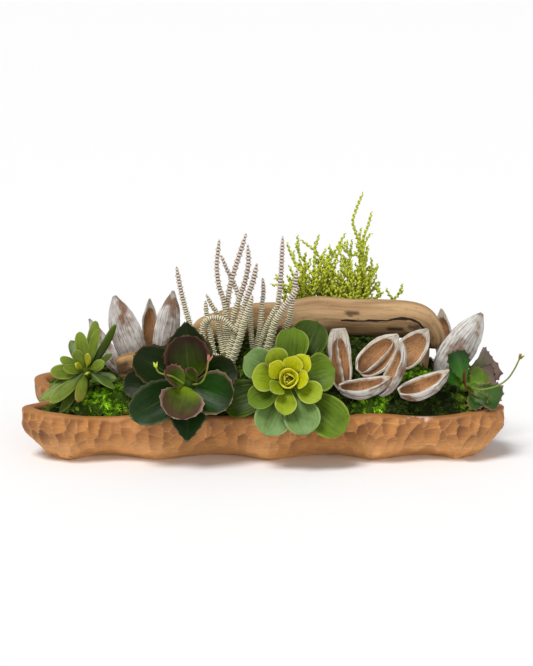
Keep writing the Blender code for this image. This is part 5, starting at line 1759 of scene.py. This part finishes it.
def twig_bunches() -> Iterable[TwigBunch]:
    """The three bunches of lime twigs, with the marks of their main twigs."""
    yield TwigBunch("lime_twigs_left", (0.062, 0.082), (
        ((0.065, 0.225), (0.045, 0.251), (0.034, 0.280)),
        ((0.062, 0.241), (0.053, 0.258), (0.050, 0.288)),
        ((0.093, 0.228), (0.079, 0.261), (0.067, 0.272), (0.054, 0.282)),
        ((0.073, 0.226), (0.075, 0.250), (0.076, 0.281)),
        ((0.040, 0.212), (0.024, 0.216), (0.010, 0.218)),
        ((0.027, 0.216), (0.015, 0.226)),
        ((0.055, 0.213), (0.041, 0.222), (0.034, 0.230)),
        ((0.063, 0.210), (0.045, 0.234)),
    ), (0.036, 0.082), SEED + 11)
    yield TwigBunch("lime_twigs_middle", (0.104, 0.078), (
        ((0.096, 0.251), (0.098, 0.265), (0.096, 0.277)),
        ((0.095, 0.244), (0.107, 0.272), (0.120, 0.295)),
        ((0.124, 0.225), (0.119, 0.244), (0.109, 0.274)),
        ((0.127, 0.251), (0.122, 0.269), (0.123, 0.284)),
        ((0.102, 0.205), (0.090, 0.219), (0.079, 0.226)),
        ((0.092, 0.239), (0.084, 0.257)),
        ((0.080, 0.232), (0.086, 0.251)),
    ), (0.076, 0.124), SEED + 12)
    yield TwigBunch("lime_twigs_right", (0.142, 0.080), (
        ((0.142, 0.265), (0.135, 0.293), (0.130, 0.312), (0.136, 0.333), (0.145, 0.355)),
        ((0.144, 0.276), (0.152, 0.307), (0.157, 0.328)),
        ((0.141, 0.276), (0.140, 0.293), (0.143, 0.304)),
        ((0.145, 0.268), (0.151, 0.289), (0.158, 0.296)),
        ((0.146, 0.240), (0.152, 0.277)),
        ((0.155, 0.215), (0.162, 0.233), (0.168, 0.249)),
        ((0.156, 0.222), (0.155, 0.237), (0.161, 0.247)),
        ((0.162, 0.208), (0.170, 0.220)),
        ((0.192, 0.194), (0.200, 0.205), (0.205, 0.219)),
        ((0.127, 0.253), (0.130, 0.284)),
    ), (0.116, 0.164), SEED + 13)


# Driftwood
@dataclass
class WoodPiece:
    """A length of driftwood: its middle line and radius, its gnarls and its knots."""

    name: str
    node: str
    line: tuple
    light: Color
    dark: Color
    finish: Driftwood
    branch: tuple = ()
    sides: int = 60
    spacing: float = 0.0022
    gnarl: float = 0.0022
    # Gnarls to a metre of length, and in half the way round
    gnarls_along: float = 14.0
    gnarls_around: float = 1.6
    grain_spread: float = 6.0
    # Dark places on the front: x, z, half width and half height
    knots: tuple = ()
    knot_depth: float = 0.0012
    knot_color: Color = tone(58, 44, 34)
    # A painted shade inside the first end's hollow.
    hollow_shade_color: Color = tone(36, 24, 15)
    # How deep the first end's rotten hollow is, and how far apart its rings are
    hollow: float = 0.0
    spacing_inside: float = 0.002

    def add_length(self, draft: Draft, line: tuple, seed: float) -> None:
        """Adds one length of wood along a line of x, y, z and radius."""
        route = evenly(spline(line, 10), self.spacing)
        travelled = lengths_along(route)
        hollow_shade = np.zeros(len(route))
        if self.hollow and line is self.line:
            route, travelled, hollow_shade = self.turned_in(route, travelled)
        radii = route[:, 3]
        points = sweep(route, radii, self.sides)
        outward = unit(points - route[:, None, :3])
        turn = turns(self.sides)
        round_it = np.cos(turn) * self.gnarls_around, np.sin(turn) * self.gnarls_around
        flow = np.stack(np.broadcast_arrays(travelled[:, None] * self.gnarls_along, *round_it), axis=-1)
        furrows = rough(flow * np.array([0.5, 4.0, 4.0]), 1.0, seed)
        bumps = rough(flow, 1.0, seed + 5.0)
        knotted = self.knotted(points, outward)
        push = self.gnarl * (bumps * 0.7 + furrows * 0.4) - knotted * self.knot_depth
        points = points + outward * np.minimum(push, radii[:, None] * 0.4)[..., None]
        # Upward faces are painted lighter and downward ones darker, a painted light from above; raised
        # gnarls are paler too.
        tint = 0.42 - bumps * 0.8 - outward[..., 2] * 0.30 + furrows * 0.4
        paint = mixed(self.light, self.dark, np.clip(tint, 0.0, 1.0))
        paint = mixed(paint, self.knot_color, knotted * 0.85)
        # A painted shade inside the hollow end.
        paint = mixed(paint, self.hollow_shade_color, hollow_shade[:, None] * 0.85)
        around = turn[None] / (2 * math.pi) * radii.mean() * self.grain_spread
        draft.grid(points, paint, closed=True, along=travelled, around=around)

    def turned_in(self, route: Grid, travelled: np.ndarray) -> tuple[Grid, np.ndarray, np.ndarray]:
        """Turns the first end inwards, as a rotten hollow with a ragged wall, and marks its inside for a
        painted shade.
        """
        ahead = route[3] - route[0]
        ahead[3] = 0.0
        ahead /= np.linalg.norm(ahead[:3])
        shares = np.array([1.0, 0.8, 0.55, 0.3, 0.12, 0.0])
        lip = route[0] + ahead * (shares[:, None] * self.hollow)
        lip[:, 3] = route[0, 3] * np.array([0.30, 0.52, 0.62, 0.70, 0.78, 0.90])
        back = -np.cumsum(np.full(len(shares), self.spacing_inside))[::-1]
        hollow_shade = np.concatenate([np.ones(5), [0.5], np.zeros(len(route))])
        return np.vstack([lip, route]), np.concatenate([back, travelled]), hollow_shade

    def knotted(self, points: Grid, outward: Grid) -> np.ndarray:
        """How far each point of the front lies in a knot, from 0 to 1."""
        knotted = np.zeros(points.shape[:2])
        front = ease(0.15, -0.25, outward[..., 1])
        for x, z, wide, high in self.knots:
            away = np.hypot((points[..., 0] - x) / wide, (points[..., 2] - z) / high)
            knotted = np.maximum(knotted, ease(1.0, 0.45, away + rough(points, 120.0, 8.0) * 0.5) * front)
        return knotted

    def build(self) -> Piece:
        """Builds and dresses the piece."""
        draft = Draft("along", "around")
        self.add_length(draft, self.line, 1.7)
        if self.branch:
            self.add_length(draft, self.branch, 4.1)
        return install(draft.build(self.name), self.finish.build(), "driftwood", self.node)


def driftwood() -> Iterable[WoodPiece]:
    """The long log with its leg, and the short branch with its hollow end."""
    crack = (
        (0.112, 0.1790), (0.140, 0.1776), (0.174, 0.1783), (0.198, 0.1812), (0.212, 0.1800),
        (0.2226, 0.1740), (0.2346, 0.1598), (0.2395, 0.1402),
    )
    yield WoodPiece(
        name="weathered_log",
        node="driftwood_log",
        line=(
            (-0.098, 0.026, 0.1535, 0.012), (-0.086, 0.024, 0.1575, 0.020),
            (-0.060, 0.022, 0.1635, 0.024), (-0.020, 0.020, 0.1720, 0.0255),
            (0.030, 0.019, 0.1760, 0.025), (0.075, 0.020, 0.1805, 0.028),
            (0.125, 0.020, 0.1785, 0.027), (0.170, 0.021, 0.1765, 0.027),
            (0.206, 0.021, 0.1750, 0.027), (0.225, 0.020, 0.1705, 0.026),
            (0.237, 0.020, 0.1610, 0.022), (0.2445, 0.019, 0.1500, 0.0185),
            (0.246, 0.018, 0.1400, 0.0155), (0.246, 0.018, 0.1345, 0.010),
        ),
        branch=(
            (0.214, 0.026, 0.168, 0.012), (0.228, 0.028, 0.142, 0.0125),
            (0.230, 0.030, 0.112, 0.0115), (0.228, 0.032, 0.086, 0.008),
        ),
        light=tone(186, 152, 110),
        dark=tone(128, 96, 64),
        finish=Driftwood("weathered_log_wood", tone(104, 74, 50), 0.62, crack),
        knots=(
            (0.123, 0.1885, 0.016, 0.0048), (0.216, 0.1665, 0.012, 0.006),
            (0.190, 0.1640, 0.020, 0.0040),
        ),
    )
    yield WoodPiece(
        name="hollow_branch",
        node="driftwood_branch",
        line=(
            (-0.206, -0.028, 0.109, 0.019), (-0.190, -0.027, 0.113, 0.022),
            (-0.160, -0.024, 0.117, 0.023), (-0.128, -0.020, 0.119, 0.021),
            (-0.108, -0.016, 0.121, 0.016),
        ),
        light=tone(178, 138, 90),
        dark=tone(112, 78, 48),
        finish=Driftwood("hollow_branch_wood", tone(84, 56, 34), 0.66),
        # On the branch these dark places make the ragged recess by its hollow end; their dark is a painted
        # shade.
        knots=((-0.199, 0.113, 0.022, 0.017), (-0.178, 0.108, 0.022, 0.015)),
        knot_depth=0.0060,
        knot_color=tone(44, 30, 18),
        hollow=0.014,
    )


# Husks
class Chambers(Enum):
    """How the inside of a half pod is parted."""

    ONE = 1
    TWO = 2


@dataclass
class Husk:
    """Half of a dry pod: its ends, the way its inside faces, and its size.

    blunt widens its crown, wash is the share of its whitewash that is left, arch how far it bows
    for its length and fullness how its depth follows its width. The septum is the wall between
    two chambers: septum_at is its place across, septum_slant its slant and septum_half its half
    width, all as shares of the hollow's half width.
    """

    node: str
    skin: Material
    root: Place
    tip: Place
    faces: Place
    width: float
    depth: float
    chambers: Chambers = Chambers.ONE
    blunt: float = 0.0
    wash: float = 1.0
    wall: float = 0.0030
    arch: float = 0.05
    fullness: float = 0.8
    septum_at: float = -0.16
    septum_slant: float = 0.0
    septum_half: float = 0.17
    flutes: float = 7.0
    flute_depth: float = 0.0006
    crown: float = 0.0007
    warp: float = 0.0012
    # Grain lines to a metre of length
    grain_along: float = 18.0
    rows: int = 44
    outside: int = 26
    floor_points: int = 25
    lip_points: int = 3
    # From root to tip: share of the length, and shares of the half width, of the hollow's half
    # width and of the hollow's depth
    profile: tuple = (
        (0.00, 0.38, 0.10, 0.0), (0.14, 0.80, 0.60, 0.7), (0.40, 1.00, 0.80, 1.0),
        (0.66, 0.88, 0.62, 0.9), (0.78, 0.69, 0.42, 0.6), (0.86, 0.52, 0.10, 0.0),
        (1.00, 0.10, 0.03, 0.0),
    )
    white: Color = tone(212, 210, 204)
    grey: Color = tone(146, 134, 120)
    brown: Color = tone(126, 82, 50)
    rim: Color = tone(218, 208, 188)
    lining: Color = tone(206, 154, 106)
    # A painted shade in the depths of the lining.
    deep: Color = tone(82, 50, 30)

    def directions(self) -> tuple[np.ndarray, np.ndarray, np.ndarray, float]:
        """The husk's length, width and facing directions, and its length."""
        root, tip, faces = (np.array(value, float) for value in (self.root, self.tip, self.faces))
        length = float(np.linalg.norm(tip - root))
        along = (tip - root) / length
        facing = unit(faces - along * faces.dot(along))
        return along, np.cross(facing, along), facing, length

    def shape_rows(self) -> np.ndarray:
        """The profile at even shares of the length, its crown widened by blunt."""
        given = np.array(self.profile)
        given[:, 1] += self.blunt * given[:, 0] ** 3
        fine = spline(given, 10)
        shares = np.linspace(0.0, 1.0, self.rows)
        rows = np.column_stack([np.interp(shares, fine[:, 0], column) for column in fine.T])
        return np.clip(rows, 0.0, 1.0)

    def septum(self, spread: np.ndarray, share: np.ndarray) -> Grid:
        """1 on the wall between two chambers, at shares of the hollow's half width and the length."""
        if self.chambers is Chambers.ONE:
            return np.zeros((len(share), len(spread)))
        line = self.septum_at + self.septum_slant * (share - 0.5)
        return ease(self.septum_half, self.septum_half * 0.4, np.abs(spread[None] - line[:, None]))

    def section(self, rows: np.ndarray) -> tuple[Grid, Grid, Grid]:
        """The cross-sections, in the husk's width and facing directions.

        Args:
            rows: the profile's rows.

        Returns:
            The points, and at each the share of the lining and of the rim.
        """
        share, breadth, opening, hollow = rows.T
        half = self.width / 2 * np.maximum(breadth, 0.03)
        turn = np.linspace(0.0, math.pi, self.outside)
        flute = 1.0 + self.flute_depth / self.depth * np.cos(turn * 2 * self.flutes)
        deep = self.depth * np.maximum(breadth, 0.03) ** self.fullness
        outside = np.stack([np.cos(turn) * half[:, None], -np.sin(turn) * flute * deep[:, None]], axis=-1)
        inner_half = np.minimum(self.width / 2 * opening, half * 0.9)
        spread = np.sin(np.linspace(-math.pi / 2, math.pi / 2, self.floor_points))
        septum = self.septum(spread, share)
        bowl = np.sqrt(np.maximum(0.0, 1.0 - spread**2)) ** 0.7 * (1.0 - 0.94 * septum)
        down = bowl * ((self.depth - self.wall) * hollow)[:, None]
        inside = np.stack([spread * inner_half[:, None], -down], axis=-1)
        step = (np.arange(self.lip_points) + 0.5) / self.lip_points
        ledge = inner_half[:, None] + (half - inner_half)[:, None] * step
        crown = np.broadcast_to(self.crown * np.sin(step * math.pi), ledge.shape)
        left = np.stack([-ledge[:, ::-1], crown], axis=-1)
        right = np.stack([ledge, crown], axis=-1)
        points = np.concatenate([outside, left, inside, right], axis=1)
        lined = np.zeros(points.shape[:2])
        first = self.outside + self.lip_points
        last = first + self.floor_points
        lined[:, first + 1 : last - 1] = ease(0.0, 0.3, hollow)[:, None] * (1.0 - septum[:, 1:-1])
        rim = np.zeros(points.shape[:2])
        rim[:, self.outside :] = 1.0
        return points, lined, rim

    def paint(self, points: Grid, share: Grid, depth_share: Grid, lined: Grid, rim: Grid) -> np.ndarray:
        """The colour at each point.

        Args:
            points: the points in the scene's frame.
            share: share of the length.
            depth_share: how deep each lies below the open face, as a share.
            lined: share of the lining.
            rim: 1 on the rim and the septum.

        Returns:
            A colour for each point.
        """
        spot = rough(points, 42.0, 8.0)
        fine = rough(points, 170.0, 2.0)
        outer = mixed(self.white, self.grey, np.clip(0.30 + spot * 0.9 + fine * 0.35, 0.0, 1.0))
        worn = ease(0.55, 0.05, share) * 0.45 + (1.0 - self.wash) * 0.5
        worn = np.clip(worn * (0.6 + fine) + ease(0.10, 0.35, spot + fine * 0.4) * 0.7, 0.0, 1.0)
        outer = mixed(outer, self.brown, worn * 0.8)
        outer = mixed(outer, self.brown, ease(0.94, 1.0, share) * 0.9)
        outer = mixed(outer, self.rim, rim * (0.9 - ease(0.1, 0.5, fine) * 0.4))
        # The lining is painted darker deeper in the hollow and towards the root end, a painted shade in the
        # pod's depths.
        lining = mixed(self.lining, self.deep, np.clip(depth_share * 0.35 + spot * 0.4, 0.0, 1.0))
        lining = mixed(lining, self.deep, ease(0.52, 0.05, share + fine * 0.10) * 0.85)
        return mixed(outer, lining, lined)

    def build(self) -> Piece:
        """Builds and dresses the husk."""
        along, across, facing, length = self.directions()
        rows = self.shape_rows()
        share = rows[:, 0]
        section, lined, rim = self.section(rows)
        bow = self.arch * length * 4 * share * (1 - share)
        middle = np.array(self.root) + along * (length * share)[:, None] - facing * bow[:, None]
        points = middle[:, None] + across * section[..., :1] + facing * section[..., 1:]
        points = points + across * (rough(points, 60.0) * self.warp)[..., None]
        points = points + facing * (rough(points, 55.0, 3.0) * self.warp)[..., None]
        depth_share = -section[..., 1] / self.depth
        shares = np.broadcast_to(share[:, None], lined.shape)
        paint = self.paint(points, shares, depth_share, lined, rim)
        spread = section[..., 0] / (self.width / 2 * np.maximum(rows[:, 1:2], 0.1))
        draft = Draft("along", "across", "inside")
        lines = share * length * self.grain_along
        draft.grid(points, paint, closed=True, along=lines, across=spread, inside=lined)
        piece = draft.build(self.node.replace("husk", "half_pod"))
        return install(piece, self.skin, "husk", self.node)


def husks() -> Iterable[Husk]:
    """The twelve half pods."""
    skin = HuskSkin().build()
    # Root, tip, the way the inside faces, width and depth
    pods = {
        "front_1": ((0.111, -0.102, 0.098), (0.104, -0.090, 0.183), (0.30, -0.90, 0.25), 0.035, 0.015),
        "front_2": ((0.134, -0.086, 0.119), (0.188, -0.079, 0.172), (-0.20, -0.92, 0.30), 0.045, 0.015),
        "front_3": ((0.188, -0.064, 0.124), (0.232, -0.054, 0.175), (-0.22, -0.93, 0.10), 0.041, 0.012),
        "front_4": ((0.158, -0.114, 0.094), (0.192, -0.099, 0.167), (-0.90, -0.38, 0.24), 0.034, 0.018),
        "front_5": ((0.104, -0.118, 0.107), (0.176, -0.123, 0.122), (-0.10, -0.36, 0.93), 0.032, 0.022),
        "front_6": ((0.186, -0.122, 0.101), (0.256, -0.115, 0.130), (-0.27, -0.42, 0.86), 0.036, 0.023),
        "left_1": ((-0.180, 0.030, 0.101), (-0.217, 0.038, 0.207), (0.15, 0.95, 0.10), 0.048, 0.012),
        "left_2": ((-0.164, 0.058, 0.112), (-0.167, 0.060, 0.199), (0.30, -0.90, 0.15), 0.024, 0.008),
        "left_3": ((-0.150, 0.034, 0.112), (-0.131, 0.040, 0.214), (-0.10, 0.95, 0.10), 0.037, 0.011),
        "left_4": ((-0.202, 0.012, 0.094), (-0.252, 0.022, 0.176), (0.25, 0.90, 0.30), 0.028, 0.009),
        "right_1": ((0.249, -0.034, 0.105), (0.312, -0.012, 0.190), (-0.20, 0.95, -0.10), 0.050, 0.013),
        "right_2": ((0.268, 0.056, 0.097), (0.260, 0.060, 0.184), (-0.25, -0.92, 0.10), 0.028, 0.009),
    }
    own = {
        "front_1": {"chambers": Chambers.TWO, "blunt": 0.50, "septum_at": -0.05, "septum_slant": 0.75},
        "front_2": {"chambers": Chambers.TWO, "septum_at": -0.30},
        "left_1": {"wash": 0.5},
        "left_2": {"wash": 0.7},
        "left_3": {"wash": 0.7},
        "left_4": {"wash": 0.6},
        "right_2": {"wash": 0.6},
    }
    for name, sizes in pods.items():
        yield Husk("husk_" + name, skin, *sizes, **own.get(name, {}))


# Studio
@dataclass
class Studio:
    """Camera at the photograph's viewing angle, a plain floor and soft light."""

    eye: Place = (0.0043, -2.530, 0.651)
    pitch: float = 11.0
    focal_px: float = 1794.0
    frame_height_px: float = 666.0
    sensor: float = 36.0
    floor_radius: float = 90.0
    floor_sides: int = 48
    sky: float = 0.42
    # Name, elevation and turn to the right of the front in degrees, strength and spread in degrees
    suns: tuple = (
        ("key", 58.0, -34.0, 2.5, 22.0),
        ("fill", 12.0, 18.0, 0.7, 50.0),
    )

    def build_camera(self) -> None:
        """Sets the camera."""
        data = bpy.data.cameras.new("camera")
        data.sensor_width = self.sensor
        data.lens = self.focal_px * self.sensor / self.frame_height_px
        camera = bpy.data.objects.new("camera", data)
        camera.location = self.eye
        camera.rotation_euler = (math.radians(90.0 - self.pitch), 0.0, 0.0)
        bpy.context.scene.collection.objects.link(camera)
        bpy.context.scene.camera = camera

    def build_floor(self) -> None:
        """Lays the pale floor."""
        turn = turns(self.floor_sides)
        disc = np.stack([np.cos(turn), np.sin(turn), turn * 0.0], axis=1) * self.floor_radius
        mesh = bpy.data.meshes.new("floor")
        mesh.from_pydata(disc.tolist(), [], [list(range(self.floor_sides))])
        mesh.materials.append(PaleFloor().build())
        floor = bpy.data.objects.new("floor", mesh)
        bpy.context.scene.collection.objects.link(floor)

    def build_lamps(self) -> None:
        """Hangs the soft lamps and lights the surroundings."""
        for name, elevation, turn, strength, spread in self.suns:
            data = bpy.data.lights.new(name, "SUN")
            data.energy = strength
            data.angle = math.radians(spread)
            lamp = bpy.data.objects.new(name, data)
            lamp.rotation_euler = (math.radians(90.0 - elevation), 0.0, math.radians(turn))
            bpy.context.scene.collection.objects.link(lamp)
        world = bpy.data.worlds.new("studio")
        world.use_nodes = True
        background = world.node_tree.nodes["Background"]
        background.inputs["Color"].default_value = (1.0, 1.0, 1.0, 1.0)
        background.inputs["Strength"].default_value = self.sky
        bpy.context.scene.world = world
        bpy.context.scene.view_settings.view_transform = "Standard"

    def build(self) -> None:
        """Builds the camera, floor and lamps."""
        self.build_camera()
        self.build_floor()
        self.build_lamps()


def dress_foam() -> None:
    """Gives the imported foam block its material."""
    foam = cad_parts["foam_block"]
    foam.data.materials.clear()
    foam.data.materials.append(FoamBlock().build())


def main() -> None:
    """Builds every piece in order."""
    logging.basicConfig(level=logging.INFO, format="%(message)s")
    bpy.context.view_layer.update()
    Studio().build()
    dress_foam()
    Bowl().build()
    MossBed().build()
    for rosette in (echeveria(), paddle_plant(), dark_plant(), small_plant()):
        rosette.build()
    for maker in (ringed_bunches, twig_bunches, driftwood, husks):
        for piece in maker():
            piece.build()


if __name__ == "__main__":
    main()
